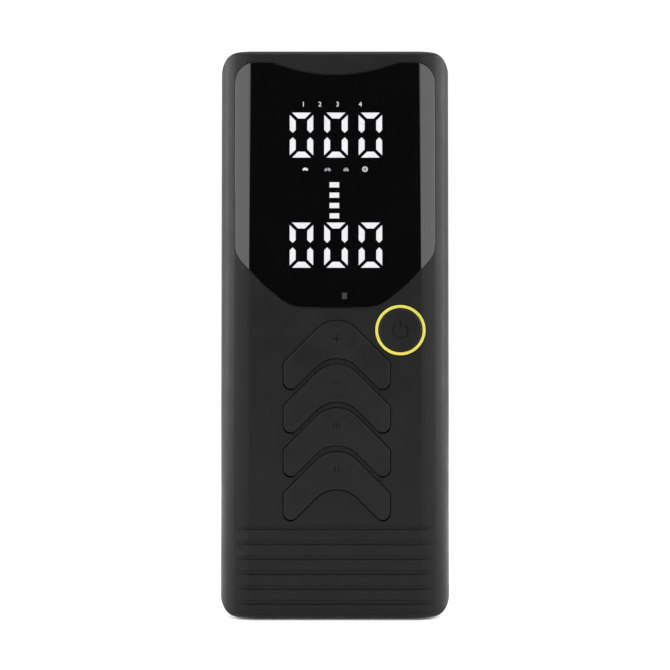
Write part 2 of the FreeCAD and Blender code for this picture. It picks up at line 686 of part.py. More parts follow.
def pump_drive():
    """Motor with its pinion, the large gear, the crank disc behind the frame plate and its bearing."""
    can = cut(round_bar((MOTOR_X, "0 - 2.9", "crank_z"), "y", "motor_radius", "21"),
              round_bar((MOTOR_X, "0 - 1.9", "crank_z"), "y", "motor_radius - 1", "21"),
              round_bar((MOTOR_X, "0 - 4", "crank_z"), "y", "2.4", "4"))
    node("motor_can", can)
    lid = cut(round_bar((MOTOR_X, "17.1", "crank_z"), "y", "motor_radius - 1.02", "1.6"),
              round_bar((MOTOR_X, "16", "crank_z"), "y", "1.6", "4"))
    node("motor_end_cap", lid)
    magnets = []
    for offset in ("+ 2", "- 9"):
        tube = cut(round_bar((MOTOR_X, "0", "crank_z"), "y", "motor_radius - 1.02", "15"),
                   round_bar((MOTOR_X, "0 - 1", "crank_z"), "y", "motor_radius - 3", "18"))
        arc = block((f"{MOTOR_X} - 12", "0 - 1", f"crank_z {offset}"), ("24", "18", "7"))
        magnets.append(overlap(tube, arc))
    node("motor_magnets", join(*magnets, name="motor_magnets"))
    armature = join(round_bar((MOTOR_X, "0 - 9.4", "crank_z"), "y", "1", "29"),
                    round_bar((MOTOR_X, "1.5", "crank_z"), "y", "8", "12"))
    node("motor_rotor", armature)
    few = int(size("pinion_teeth"))
    pinion = toothed_wheel("pinion_blank", few, 3.2, (MOTOR_X, "0 - 9.1", "crank_z"), 90.0)
    shaft_hole = round_bar((MOTOR_X, "0 - 10", "crank_z"), "y", "1", "5")
    node("motor_pinion", cut(pinion, shaft_hole, name="motor_pinion"))
    teeth = int(size("gear_teeth"))
    half_tooth = 180.0 / teeth
    gear = toothed_wheel("gear_blank", teeth, 2.8, ("crank_x", "0 - 9.2", "crank_z"), 90.0 + half_tooth)
    windows = []
    for angle in range(0, 360, 60):
        corner = (f"crank_x + window_reach * cos({angle})", "0 - 10", f"crank_z + window_reach * sin({angle})")
        windows.append(round_bar(corner, "y", "3.6", "5"))
    bore = round_bar(("crank_x", "0 - 10", "crank_z"), "y", "3", "5")
    node("drive_gear", cut(gear, bore, *windows, name="drive_gear"))
    shaft = round_bar(("crank_x", "0 - 9.4", "crank_z"), "y", "3", "9")
    disc = round_bar(("crank_x", "0 - 1.4", "crank_z"), "y", "9.4", "2.4")
    trim = block(("crank_x - 12", "0 - 3", "crank_z + 4.2"), ("24", "6", "12"))
    pin = round_bar(("crank_x", "0.9", "crank_z - crank_throw"), "y", "1.9", "2.8")
    node("crank", join(cut(disc, trim), shaft, pin, name="crank"))
    node("crank_bearing", cut(round_bar(("crank_x", "0 - 5", "crank_z"), "y", "6", "3.1"),
                              round_bar(("crank_x", "0 - 6", "crank_z"), "y", "3.05", "6"),
                              name="crank_bearing"))


def pump_frame():
    """Cast frame: a plate that carries motor and crank, and the cylinder that stands on it."""
    plate = rounded_prism("frame_plate", "XZ_Plane", "60", "40", "2", "4", ("1", "0 - 4", "130"))
    boss = round_bar(("crank_x", "0 - 5", "crank_z"), "y", "8", "3.1")
    barrel = round_bar(("crank_x", "pump_y", "146"), "z", "bore_radius + 2", "25")
    web = block(("crank_x - 9", "0 - 5", "144"), ("18", "4", "27"))
    fins = [rounded_prism(f"frame_fin_{fin}", "XY_Plane", "24", "24", "1.2", "6",
                          ("crank_x", "pump_y", f"152 + {fin} * 4.4")) for fin in range(4)]
    bore = round_bar(("crank_x", "pump_y", "140"), "z", "bore_radius", "40")
    seat = round_bar(("crank_x", "0 - 8", "crank_z"), "y", "6", "8")
    pilot = round_bar((MOTOR_X, "0 - 8", "crank_z"), "y", "5.4", "8")
    sweep = block(("crank_x - 14", "0 - 1.8", "crank_z - 20"), ("28", "20", "35"))
    node("pump_frame", cut(join(plate, boss, barrel, web, *fins), bore, seat, pilot, sweep, name="pump_frame"))


def pump_stroke():
    """Piston with its cup seal and wrist pin, and the rod that hangs from the pin."""
    crown = round_bar(("crank_x", "pump_y", f"{WRIST_Z} + 3.2"), "z", "bore_radius - 0.3", "4")
    lugs = [block(("crank_x - 3", f"pump_y + ({low})", f"{WRIST_Z} - 3"), ("6", "3", "7"))
            for low in ("2.4", "0 - 5.4")]
    hole = round_bar(("crank_x", "pump_y - 7", WRIST_Z), "y", "1.5", "14")
    groove = cut(round_bar(("crank_x", "pump_y", f"{WRIST_Z} + 4.4"), "z", "bore_radius", "1.6"),
                 round_bar(("crank_x", "pump_y", f"{WRIST_Z} + 4.2"), "z", "bore_radius - 1.4", "2"))
    node("piston", cut(join(crown, *lugs), hole, groove, name="piston"))
    band = round_bar(("crank_x", "pump_y", f"{WRIST_Z} + 4.42"), "z", "bore_radius - 0.05", "1.56")
    core = round_bar(("crank_x", "pump_y", f"{WRIST_Z} + 4.2"), "z", "bore_radius - 1.38", "2")
    node("piston_seal", cut(band, core, name="piston_seal"))
    node("wrist_pin", round_bar(("crank_x", "pump_y - 5.4", WRIST_Z), "y", "1.5", "10.8", name="wrist_pin"))
    small_eye = round_bar(("crank_x", "pump_y - 2", WRIST_Z), "y", "2.6", "4")
    big_eye = round_bar(("crank_x", "pump_y - 2", "crank_z - crank_throw"), "y", "3.9", "4")
    shank = block(("crank_x - 1.6", "pump_y - 1.5", "crank_z - crank_throw"), ("3.2", "3", "rod_length"))
    holes = [round_bar(("crank_x", "pump_y - 3", WRIST_Z), "y", "1.56", "6"),
             round_bar(("crank_x", "pump_y - 3", "crank_z - crank_throw"), "y", "2.3", "6")]
    node("connecting_rod", cut(join(small_eye, big_eye, shank), *holes, name="connecting_rod"))


def pump_head():
    """Cylinder head with its valve disc and spring, screws, and the threaded air outlet."""
    block_head = rounded_prism("head_blank", "XY_Plane", "24", "24", "8", "6", ("crank_x", "pump_y", "175.05"))
    pocket = round_bar(("crank_x", "pump_y", "173"), "z", "3.1", "8")
    port = round_bar(("crank_x", "pump_y", "170"), "z", "1.2", "8")
    node("cylinder_head", cut(block_head, pocket, port, name="cylinder_head"))
    node("outlet_valve", round_bar(("crank_x", "pump_y", "173.1"), "z", "2.7", "1.1", name="outlet_valve"))
    coil = doc.addObject("Part::Helix", "spring_path")
    coil.Pitch = 1.35
    coil.Height = 3.6
    coil.Radius = 1.9
    coil.SegmentLength = 0.25
    place(coil, ("crank_x", "pump_y", "174.7"))
    wire = doc.addObject("Part::Circle", "spring_wire")
    wire.Radius = 0.4
    wire.Placement = FreeCAD.Placement(FreeCAD.Vector(), FreeCAD.Rotation(FreeCAD.Vector(1, 0, 0), 90))
    for letter, text in zip("xyz", ("crank_x + 1.9", "pump_y", "174.7")):
        wire.setExpression("Placement.Base." + letter, formula(text))
    spring = doc.addObject("Part::Sweep", "valve_spring")
    spring.Sections = [wire]
    spring.Spine = (coil, [])
    spring.Solid = True
    spring.Frenet = True
    node("valve_spring", spring)
    screws = [round_bar((f"crank_x + {x} * 8.4", f"pump_y + {y} * 8.4", "179.06"), "z", "1.7", "0.9")
              for x in (-1, 1) for y in (-1, 1)]
    screws += [round_bar((f"{MOTOR_X} + {side} * 8", "0 - 5.9", "crank_z"), "y", "1.7", "0.9")
               for side in (-1, 1)]
    node("pump_screws", join(*screws, name="pump_screws"))
    stem = join(round_bar(("crank_x", "pump_y", "179.06"), "z", "5.6", "case_height - 1.5 - 179.06"),
                rounded_prism("outlet_hex", "XY_Plane", "12.6", "12.6", "4", "3", ("crank_x", "pump_y", "184")))
    thread = round_bar(("crank_x", "pump_y", "case_height - 1.5 - outlet_depth"), "z", "outlet_thread", "20")
    lead = round_bar(("crank_x", "pump_y", "170"), "z", "1.5", "25")
    node("air_outlet", cut(stem, thread, lead, name="air_outlet"))
    sensor = join(block(("24.5", "0", "172"), ("8", "8", "6")),
                  round_bar(("22.1", "4", "175"), "x", "1.4", "3"))
    node("pressure_sensor", sensor)


def torch():
    """Lamp in the top cap: a board with its lamp chip, a dished reflector and a clear lens."""
    dish = cut(taper(("torch_x", "0", "185"), "z", "4.6", "torch_radius - 0.2", "12"),
               taper(("torch_x", "0", "184.99"), "z", "2", "torch_radius - 0.9", "12.02"))
    node("torch_reflector", dish)
    node("torch_board", join(round_bar(("torch_x", "0", "183.2"), "z", "7", "1.5"),
                             block(("torch_x - 1.5", "0 - 1.5", "184.7"), ("3", "3", "0.7")),
                             name="torch_board"))
    node("torch_lens", turned("torch_lens", [(0, 0, 0), (7.9, 0, 0), (7.9, 1.8, 0.6), (0, 2.4, 0)],
                              ("torch_x", "0", "197.1")))


def case_screws():
    """Four screws that pull the rear cover onto the front shell."""
    screws = []
    for across in (f"{side}boss_x" for side in SIDES):
        for height in ("boss_low", "boss_high"):
            head = round_bar((across, "seam_place + 3.52", height), "y", "2.9", "2.2")
            slot_x = block((f"{across} - 0.4", "seam_place + 4.7", f"{height} - 1.7"), ("0.8", "2", "3.4"))
            slot_z = block((f"{across} - 1.7", "seam_place + 4.7", f"{height} - 0.4"), ("3.4", "2", "0.8"))
            shank = round_bar((across, "seam_place - 12", height), "y", "1.18", "16")
            screws.append(cut(join(head, shank), slot_x, slot_z))
    node("case_screws", join(*screws, name="case_screws"))


front_shell()
rear_cover()
end_caps()
display()
keys()
control_board()
battery()
power_board()
sockets()
door("usb_door", 1)
door("jump_door", -1)
pump_drive()
pump_frame()
pump_stroke()
pump_head()
torch()
case_screws()
doc.recompute()

faults = []
for feature in doc.Objects:
    if "Invalid" in feature.State or "Error" in feature.State:
        faults.append(f"{feature.Label} in {[user.Label for user in feature.InList]}: {feature.State}")
for label, feature in nodes.items():
    if feature.Shape.isNull() or not feature.Shape.isValid():
        faults.append(f"{label} has no valid shape")
if faults:
    raise RuntimeError("; ".join(faults))
os.makedirs("parts", exist_ok=True)
for label, feature in nodes.items():
    feature.Shape.exportStep(f"parts/{label}.step")
print(len(nodes), "sub-parts written")
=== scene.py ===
"""Jump starter pack with a tyre pump: finishes, dressed pieces and studio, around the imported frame."""

import json
import logging
import math
from dataclasses import dataclass
from enum import Enum
from typing import Callable

import bpy
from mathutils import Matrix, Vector


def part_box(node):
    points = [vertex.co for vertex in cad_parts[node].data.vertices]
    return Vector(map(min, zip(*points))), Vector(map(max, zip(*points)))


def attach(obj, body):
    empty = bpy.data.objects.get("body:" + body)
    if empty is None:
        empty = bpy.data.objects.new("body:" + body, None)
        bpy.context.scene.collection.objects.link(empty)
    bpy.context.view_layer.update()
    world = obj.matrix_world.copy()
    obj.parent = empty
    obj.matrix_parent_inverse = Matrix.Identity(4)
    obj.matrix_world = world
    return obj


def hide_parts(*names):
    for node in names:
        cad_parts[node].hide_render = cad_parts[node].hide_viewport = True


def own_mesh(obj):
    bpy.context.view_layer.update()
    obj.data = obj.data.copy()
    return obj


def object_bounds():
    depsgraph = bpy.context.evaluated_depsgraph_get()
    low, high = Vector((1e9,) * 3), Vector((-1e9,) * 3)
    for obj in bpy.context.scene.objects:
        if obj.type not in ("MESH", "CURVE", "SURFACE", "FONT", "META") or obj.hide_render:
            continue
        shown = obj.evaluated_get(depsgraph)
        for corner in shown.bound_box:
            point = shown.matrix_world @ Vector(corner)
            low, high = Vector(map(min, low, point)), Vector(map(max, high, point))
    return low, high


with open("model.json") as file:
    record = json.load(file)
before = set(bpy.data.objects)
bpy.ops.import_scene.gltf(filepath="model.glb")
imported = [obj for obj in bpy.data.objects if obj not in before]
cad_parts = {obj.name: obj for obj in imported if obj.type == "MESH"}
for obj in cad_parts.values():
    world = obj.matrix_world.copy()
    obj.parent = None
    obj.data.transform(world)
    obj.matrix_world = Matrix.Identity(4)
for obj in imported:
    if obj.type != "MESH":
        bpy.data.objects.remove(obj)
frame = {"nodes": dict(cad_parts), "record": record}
CAD_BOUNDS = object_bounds()
MM = 0.001
UPRIGHT = math.radians(90)
log = logging.getLogger("jump_starter")

Colour = tuple[float, float, float]
Pair = tuple[float, float]
Place = tuple[float, float, float]
Piece = bpy.types.Object
Socket = bpy.types.NodeSocket


class Symbol(Enum):
    """The plain mark that a key carries."""

    PLUS = "plus"
    MINUS = "minus"
    THREE_BARS = "three_bars"
    TWO_BARS = "two_bars"


class Side(Enum):
    """The side of a moulding that shows, as an axis and a direction along it."""

    FRONT = (1, -1)
    BACK = (1, 1)
    RIGHT = (0, 1)
    LEFT = (0, -1)


class NodeTree:
    """A material's node tree, built one named node at a time.

    Attributes:
        EDGE: How far the rounded and the true normal agree, where the edge wear and painted highlight are
            full and where they end.
        EDGE_RAYS: How many rays look for an edge.
    """

    EDGE = (0.85, 0.995)
    EDGE_RAYS = 4

    def __init__(self, name: str) -> None:
        """Start an empty material with a surface shader and its output.

        Args:
            name: The material's name.
        """
        self.material = bpy.data.materials.new(name)
        self.material.use_nodes = True
        self.nodes = self.material.node_tree.nodes
        self.links = self.material.node_tree.links
        self.nodes.clear()
        self.shader = self.nodes.new("ShaderNodeBsdfPrincipled")
        output = self.nodes.new("ShaderNodeOutputMaterial")
        self.links.new(self.shader.outputs["BSDF"], output.inputs["Surface"])
        self.place = self.nodes.new("ShaderNodeTexCoord").outputs["Object"]

    def stretched(self, scale: Place) -> Socket:
        """Stretch the object's own coordinates, for brushed or turned marks.

        Args:
            scale: The factors along X, Y and Z.

        Returns:
            The stretched coordinates' socket.
        """
        mapping = self.nodes.new("ShaderNodeMapping")
        mapping.inputs["Scale"].default_value = scale
        self.links.new(self.place, mapping.inputs["Vector"])
        return mapping.outputs["Vector"]

    def noise(self, size: float, detail: float = 3.0, place: Socket | None = None) -> Socket:
        """Add a noise pattern.

        Args:
            size: The size of its grains in millimetres.
            detail: How many finer layers it has.
            place: The coordinates it follows, the object's own by default.

        Returns:
            The noise's value socket.
        """
        noise = self.nodes.new("ShaderNodeTexNoise")
        noise.inputs["Scale"].default_value = 1.0 / (size * MM)
        noise.inputs["Detail"].default_value = detail
        self.links.new(place or self.place, noise.inputs["Vector"])
        return noise.outputs["Fac"]

    def spread(self, value: Socket, low: float, high: float, start: float = 0.3, end: float = 0.7) -> Socket:
        """Map a pattern's values onto a range.

        Args:
            value: The pattern.
            low: The result at the pattern's start value.
            high: The result at the pattern's end value.
            start: The pattern's value that gives low.
            end: The pattern's value that gives high.

        Returns:
            The mapped value's socket.
        """
        mapped = self.nodes.new("ShaderNodeMapRange")
        mapped.inputs["From Min"].default_value = start
        mapped.inputs["From Max"].default_value = end
        mapped.inputs["To Min"].default_value = low
        mapped.inputs["To Max"].default_value = high
        self.links.new(value, mapped.inputs["Value"])
        return mapped.outputs["Result"]

    def blend(self, amount: Socket, first: Colour | Socket, second: Colour | Socket) -> Socket:
        """Mix two colours by a pattern.

        Args:
            amount: The pattern, where 0 gives the first colour and 1 the second.
            first: A colour, or the socket of one.
            second: A colour, or the socket of one.

        Returns:
            The mixed colour's socket.
        """
        mix = self.nodes.new("ShaderNodeMix")
        mix.data_type = "RGBA"
        self.links.new(amount, mix.inputs["Factor"])
        for name, colour in (("A", first), ("B", second)):
            if isinstance(colour, Socket):
                self.links.new(colour, mix.inputs[name])
            else:
                mix.inputs[name].default_value = (*colour, 1.0)
        return mix.outputs["Result"]

    def times(self, first: Socket, second: Socket) -> Socket:
        """Multiply two patterns.

        Args:
            first: One pattern.
            second: The other pattern.

        Returns:
            The product's socket.
        """
        product = self.nodes.new("ShaderNodeMath")
        product.operation = "MULTIPLY"
        self.links.new(first, product.inputs[0])
        self.links.new(second, product.inputs[1])
        return product.outputs["Value"]

    def edge_wear(self, reach: float) -> Socket:
        """Find how much a spot stands out as a convex edge.

        Args:
            reach: How far in millimetres the wear and the painted highlight spread from an edge.

        Returns:
            A value socket, from 0 on a flat to 1 on an edge.
        """
        bevel = self.nodes.new("ShaderNodeBevel")
        bevel.samples = self.EDGE_RAYS
        bevel.inputs["Radius"].default_value = reach * MM
        surface = self.nodes.new("ShaderNodeNewGeometry")
        turn = self.nodes.new("ShaderNodeVectorMath")
        turn.operation = "DOT_PRODUCT"
        self.links.new(bevel.outputs["Normal"], turn.inputs[0])
        self.links.new(surface.outputs["Normal"], turn.inputs[1])
        return self.spread(turn.outputs["Value"], 1.0, 0.0, *self.EDGE)

    def bump(self, height: Socket, depth: float, strength: float = 1.0) -> None:
        """Dent the surface by a pattern.

        Args:
            height: The pattern.
            depth: The depth in millimetres between its lowest and highest value.
            strength: How much of the effect shows.
        """
        bump = self.nodes.new("ShaderNodeBump")
        bump.inputs["Strength"].default_value = strength
        bump.inputs["Distance"].default_value = depth * MM
        self.links.new(height, bump.inputs["Height"])
        self.links.new(bump.outputs["Normal"], self.shader.inputs["Normal"])

    def set(self, name: str, value: float | tuple[float, ...] | Socket) -> None:
        """Give a socket of the surface shader a constant or a pattern.

        Args:
            name: The socket's name.
            value: The constant, or the pattern's socket.
        """
        if isinstance(value, Socket):
            self.links.new(value, self.shader.inputs[name])
        else:
            self.shader.inputs[name].default_value = value


@dataclass(frozen=True)
class Finish:
    """What every finish has: a colour, and a roughness that varies in patches.

    Attributes:
        name: The finish's name.
        colour: Its base colour.
        rough: The least and most roughness.
        sheen: The size of the patches of different roughness in millimetres.
        layers: How many finer layers those patches have.
    """

    name: str
    colour: Colour
    rough: Pair = (0.25, 0.4)
    sheen: float = 3.0
    layers: float = 3.0

    def shade(self, factor: float) -> Colour:
        """Return the colour made darker or lighter by a factor."""
        return tuple(min(1.0, part * factor) for part in self.colour)

    def start(self) -> NodeTree:
        """Start the finish's node tree with its roughness.

        Returns:
            The node tree.
        """
        tree = NodeTree(self.name)
        tree.set("Roughness", tree.spread(tree.noise(self.sheen, self.layers), *self.rough))
        return tree


@dataclass(frozen=True)
class Plastic(Finish):
    """Moulded plastic or rubber with a spark-eroded grain, handling marks and edges painted lighter: rubbed
    wear, and on the keys a painted highlight.

    Attributes:
        grain: The size of the moulded grain in millimetres.
        depth: The depth of the grain in millimetres.
        wear: How much lighter the edges are painted, as a factor of the colour: rubbed wear, and on the keys
            a painted highlight.
        specular: How strongly it mirrors, where 0.5 is ordinary plastic.
        tone: The darkest and lightest tone of its smudges, as factors of the colour.
        smudge: The size of its smudges in millimetres.
        rub: How far in millimetres the edge wear and painted highlight reach from an edge.
        patch: The size in millimetres of the stretches of an edge that are painted lighter more or less, by
            wear and by painted highlight.
        rub_range: The least and most edge wear and painted highlight that they get.
        index: Its refractive index.
    """

    rough: Pair = (0.42, 0.55)
    sheen: float = 9.0
    layers: float = 5.0
    grain: float = 0.35
    depth: float = 0.012
    wear: float = 1.5
    specular: float = 0.5
    tone: Pair = (0.9, 1.12)
    smudge: float = 14.0
    rub: float = 0.25
    patch: float = 2.5
    rub_range: Pair = (0.15, 0.8)
    index: float = 1.5

    def build(self) -> bpy.types.Material:
        """Make the material.

        Returns:
            The material.
        """
        tree = self.start()
        smudges = tree.spread(tree.noise(self.smudge, 4.0), 0.0, 1.0)
        skin = tree.blend(smudges, *(self.shade(factor) for factor in self.tone))
        # Edges painted lighter: real rubbed wear, and with a large wear factor, as on the keys, a painted
        # highlight.
        worn_and_highlit_edges = tree.times(tree.edge_wear(self.rub), tree.spread(tree.noise(self.patch), *self.rub_range))
        tree.set("Base Color", tree.blend(worn_and_highlit_edges, skin, self.shade(self.wear)))
        tree.set("IOR", self.index)
        tree.set("Specular IOR Level", self.specular)
        tree.bump(tree.noise(self.grain, 2.0), self.depth, 0.6)
        return tree.material


@dataclass(frozen=True)
class Gloss(Finish):
    """Polished plastic: near-perfect shine with faint hairlines and dust dulling.

    Attributes:
        specular: How strongly it mirrors, where 0.5 is ordinary plastic.
        pale: How much lighter its lightest patches are, as a factor of the colour.
        cloud: The size of those patches in millimetres.
        hairline: The spacing of the hairlines in millimetres.
        run: The stretch of the hairlines along X, Y and Z.
        depth: The depth of the hairlines in millimetres.
        index: Its refractive index.
    """

    rough: Pair = (0.02, 0.05)
    sheen: float = 6.0
    layers: float = 6.0
    specular: float = 0.42
    pale: float = 1.3
    cloud: float = 25.0
    hairline: float = 1.2
    run: Place = (0.06, 1.0, 1.0)
    depth: float = 0.0004
    index: float = 1.5

    def build(self) -> bpy.types.Material:
        """Make the material.

        Returns:
            The material.
        """
        tree = self.start()
        clouds = tree.spread(tree.noise(self.cloud), 0.0, 1.0)
        tree.set("Base Color", tree.blend(clouds, self.colour, self.shade(self.pale)))
        tree.set("IOR", self.index)
        tree.set("Specular IOR Level", self.specular)
        tree.bump(tree.noise(self.hairline, 2.0, tree.stretched(self.run)), self.depth, 0.3)
        return tree.material


@dataclass(frozen=True)
class Metal(Finish):
    """Machined, cast, plated or drawn metal.

    Attributes:
        marks: The stretch of the tool marks along X, Y and Z.
        grain: The size of the marks in millimetres.
        depth: The depth of the marks in millimetres.
        dull: How dark its duller patches are, as a factor of the colour.
        patch: The size of those patches in millimetres.
    """

    rough: Pair = (0.22, 0.4)
    sheen: float = 2.0
    layers: float = 4.0
    marks: Place = (1.0, 1.0, 0.08)
    grain: float = 0.4
    depth: float = 0.006
    dull: float = 0.72
    patch: float = 3.0

    def build(self) -> bpy.types.Material:
        """Make the material.

        Returns:
            The material.
        """
        tree = self.start()
        patches = tree.spread(tree.noise(self.patch, 5.0), 0.0, 1.0)
        tree.set("Base Color", tree.blend(patches, self.shade(self.dull), self.colour))
        tree.set("Metallic", 1.0)
        tree.bump(tree.noise(self.grain, 3.0, tree.stretched(self.marks)), self.depth, 0.7)
        return tree.material


@dataclass(frozen=True)
class Lit(Finish):
    """A lit light window: an even glow under a clear satin face, a little weaker in patches.

    Attributes:
        strength: How strongly it shines.
        weak: How bright its weakest patches are, as a factor of the colour.
        patch: The size of those patches in millimetres.
        grain: The size of the face's grain in millimetres.
        depth: The depth of the grain in millimetres.
    """

    sheen: float = 1.0
    strength: float = 0.72
    weak: float = 0.9
    patch: float = 2.0
    grain: float = 0.3
    depth: float = 0.002

    def build(self) -> bpy.types.Material:
        """Make the material.

        Returns:
            The material.
        """
        tree = self.start()
        tree.set("Base Color", (*self.colour, 1.0))
        patches = tree.spread(tree.noise(self.patch), 0.0, 1.0)
        tree.set("Emission Color", tree.blend(patches, self.shade(self.weak), self.colour))
        tree.set("Emission Strength", self.strength)
        tree.bump(tree.noise(self.grain), self.depth, 0.3)
        return tree.material


@dataclass(frozen=True)
class Clear(Finish):
    """Clear moulded lens plastic.

    Attributes:
        index: Its refractive index.
        ripple: The size of its ripples in millimetres.
        depth: The depth of its ripples in millimetres.
    """

    rough: Pair = (0.02, 0.08)
    sheen: float = 4.0
    layers: float = 4.0
    index: float = 1.49
    ripple: float = 1.5
    depth: float = 0.003

    def build(self) -> bpy.types.Material:
        """Make the material.

        Returns:
            The material.
        """
        tree = self.start()
        tree.set("Base Color", (*self.colour, 1.0))
        tree.set("Transmission Weight", 1.0)
        tree.set("IOR", self.index)
        tree.bump(tree.noise(self.ripple), self.depth, 0.4)
        return tree.material


@dataclass(frozen=True)
class Board(Finish):
    """Circuit board: solder mask over a pattern of copper tracks that stand up a little.

    Attributes:
        track: The colour over copper.
        mesh: The spacing of the tracks in millimetres.
        rim: The pattern's values between which mask turns into track.
        depth: How far the tracks stand up in millimetres.
    """

    track: Colour = (0.03, 0.2, 0.08)
    mesh: float = 3.0
    rim: Pair = (0.42, 0.46)
    depth: float = 0.03

    def build(self) -> bpy.types.Material:
        """Make the material.

        Returns:
            The material.
        """
        tree = self.start()
        cells = tree.nodes.new("ShaderNodeTexVoronoi")
        cells.distance = "MANHATTAN"
        cells.feature = "F1"
        cells.inputs["Scale"].default_value = 1.0 / (self.mesh * MM)
        tree.links.new(tree.place, cells.inputs["Vector"])
        tracks = tree.spread(cells.outputs["Distance"], 0.0, 1.0, *self.rim)
        tree.set("Base Color", tree.blend(tracks, self.colour, self.track))
        tree.bump(tracks, self.depth, 0.7)
        return tree.material


EVEN = (1.0, 1.0, 1.0)
ACROSS_X = (0.1, 1.0, 1.0)
ACROSS_Y = (1.0, 0.1, 1.0)
FINISHES = (
    Plastic("case_black", (0.0024, 0.0024, 0.0025), rough=(0.34, 0.44), specular=0.11),
    Plastic("cap_black", (0.0024, 0.0024, 0.0025), rough=(0.4, 0.5), specular=0.11),
    Plastic("foot_rubber", (0.004, 0.004, 0.0042), rough=(0.65, 0.8), grain=0.25, depth=0.02, specular=0.15),
    Gloss("window_gloss", (0.0008, 0.0008, 0.0009)),
    Lit("lit_white", (0.25, 0.25, 0.26)),
    Plastic("panel_black", (0.0014, 0.0014, 0.0015), wear=1.0, specular=0.05),
    Plastic("tray_white", (0.72, 0.72, 0.7), wear=1.0),
    Plastic("ring_yellow", (0.30, 0.272, 0.034), rough=(0.35, 0.45), grain=0.2, depth=0.003, wear=1.02,
            specular=0.3),
    # The keys' wear factor of 6 paints a light highlight on all their convex edges, well beyond real rubbed
    # wear.
    Plastic("key_black", (0.0025, 0.0025, 0.0026), rough=(0.34, 0.44), grain=0.28, wear=6.0, specular=0.12),
    Board("board_green", (0.01, 0.11, 0.04)),
    Board("board_white", (0.7, 0.7, 0.68), track=(0.78, 0.78, 0.76)),
    Plastic("switch_black", (0.02, 0.02, 0.02)),
    Plastic("chip_black", (0.012, 0.012, 0.013), rough=(0.5, 0.65), grain=0.15, specular=0.15),
    Metal("screw_steel", (0.6, 0.6, 0.6), marks=EVEN),
    Metal("screw_dark", (0.10, 0.10, 0.11), rough=(0.35, 0.55), marks=EVEN),
    Plastic("cell_sleeve", (0.03, 0.16, 0.42), rough=(0.2, 0.3), grain=2.0, depth=0.02, wear=1.1),
    Plastic("holder_plastic", (0.03, 0.03, 0.033)),
    Metal("nickel_strip", (0.68, 0.65, 0.58)),
    Plastic("relay_black", (0.018, 0.018, 0.018)),
    Metal("sink_aluminium", (0.72, 0.73, 0.75)),
    Metal("coil_copper", (0.72, 0.33, 0.16), marks=ACROSS_Y),
    Plastic("capacitor_sleeve", (0.03, 0.04, 0.14), rough=(0.2, 0.3), wear=1.1),
    Plastic("socket_blue", (0.02, 0.07, 0.34), rough=(0.35, 0.5), wear=1.2),
    Metal("terminal_brass", (0.85, 0.62, 0.25), rough=(0.15, 0.3), marks=ACROSS_X),
    Metal("socket_steel", (0.68, 0.68, 0.7), marks=ACROSS_X),
    Plastic("door_rubber", (0.0042, 0.0042, 0.0045), rough=(0.5, 0.62), grain=0.25, depth=0.015,
            specular=0.12),
    Metal("pin_steel", (0.6, 0.6, 0.62), rough=(0.15, 0.3)),
    Metal("motor_steel", (0.5, 0.5, 0.52), marks=(1.0, 0.08, 1.0)),
    Plastic("motor_plastic", (0.03, 0.03, 0.03)),
    Metal("magnet_grey", (0.16, 0.16, 0.165), rough=(0.55, 0.75), marks=EVEN),
    Metal("rotor_steel", (0.42, 0.38, 0.34), marks=(0.1, 1.0, 0.1)),
    Metal("pinion_brass", (0.8, 0.58, 0.26), marks=ACROSS_Y),
    Plastic("gear_nylon", (0.72, 0.71, 0.66), rough=(0.35, 0.5), grain=0.5, depth=0.004, wear=1.02),
    Metal("crank_steel", (0.46, 0.46, 0.47), marks=EVEN),
    Metal("bearing_steel", (0.62, 0.62, 0.63), rough=(0.12, 0.25)),
    Metal("frame_cast", (0.6, 0.61, 0.62), rough=(0.4, 0.6), marks=EVEN, grain=0.7, depth=0.03),
    Metal("head_cast", (0.63, 0.64, 0.65), rough=(0.4, 0.6), marks=EVEN, grain=0.7, depth=0.03),
    Metal("piston_aluminium", (0.72, 0.72, 0.74)),
    Plastic("seal_rubber", (0.02, 0.02, 0.02), rough=(0.5, 0.65)),
    Metal("rod_aluminium", (0.68, 0.68, 0.7)),
    Metal("spring_steel", (0.65, 0.65, 0.66)),
    Metal("outlet_brass", (0.8, 0.6, 0.28), rough=(0.18, 0.32), marks=(1.0, 1.0, 0.1)),
    Metal("reflector_chrome", (0.88, 0.88, 0.88), rough=(0.04, 0.1), depth=0.002),
    Clear("torch_clear", (0.95, 0.97, 0.98)),
)


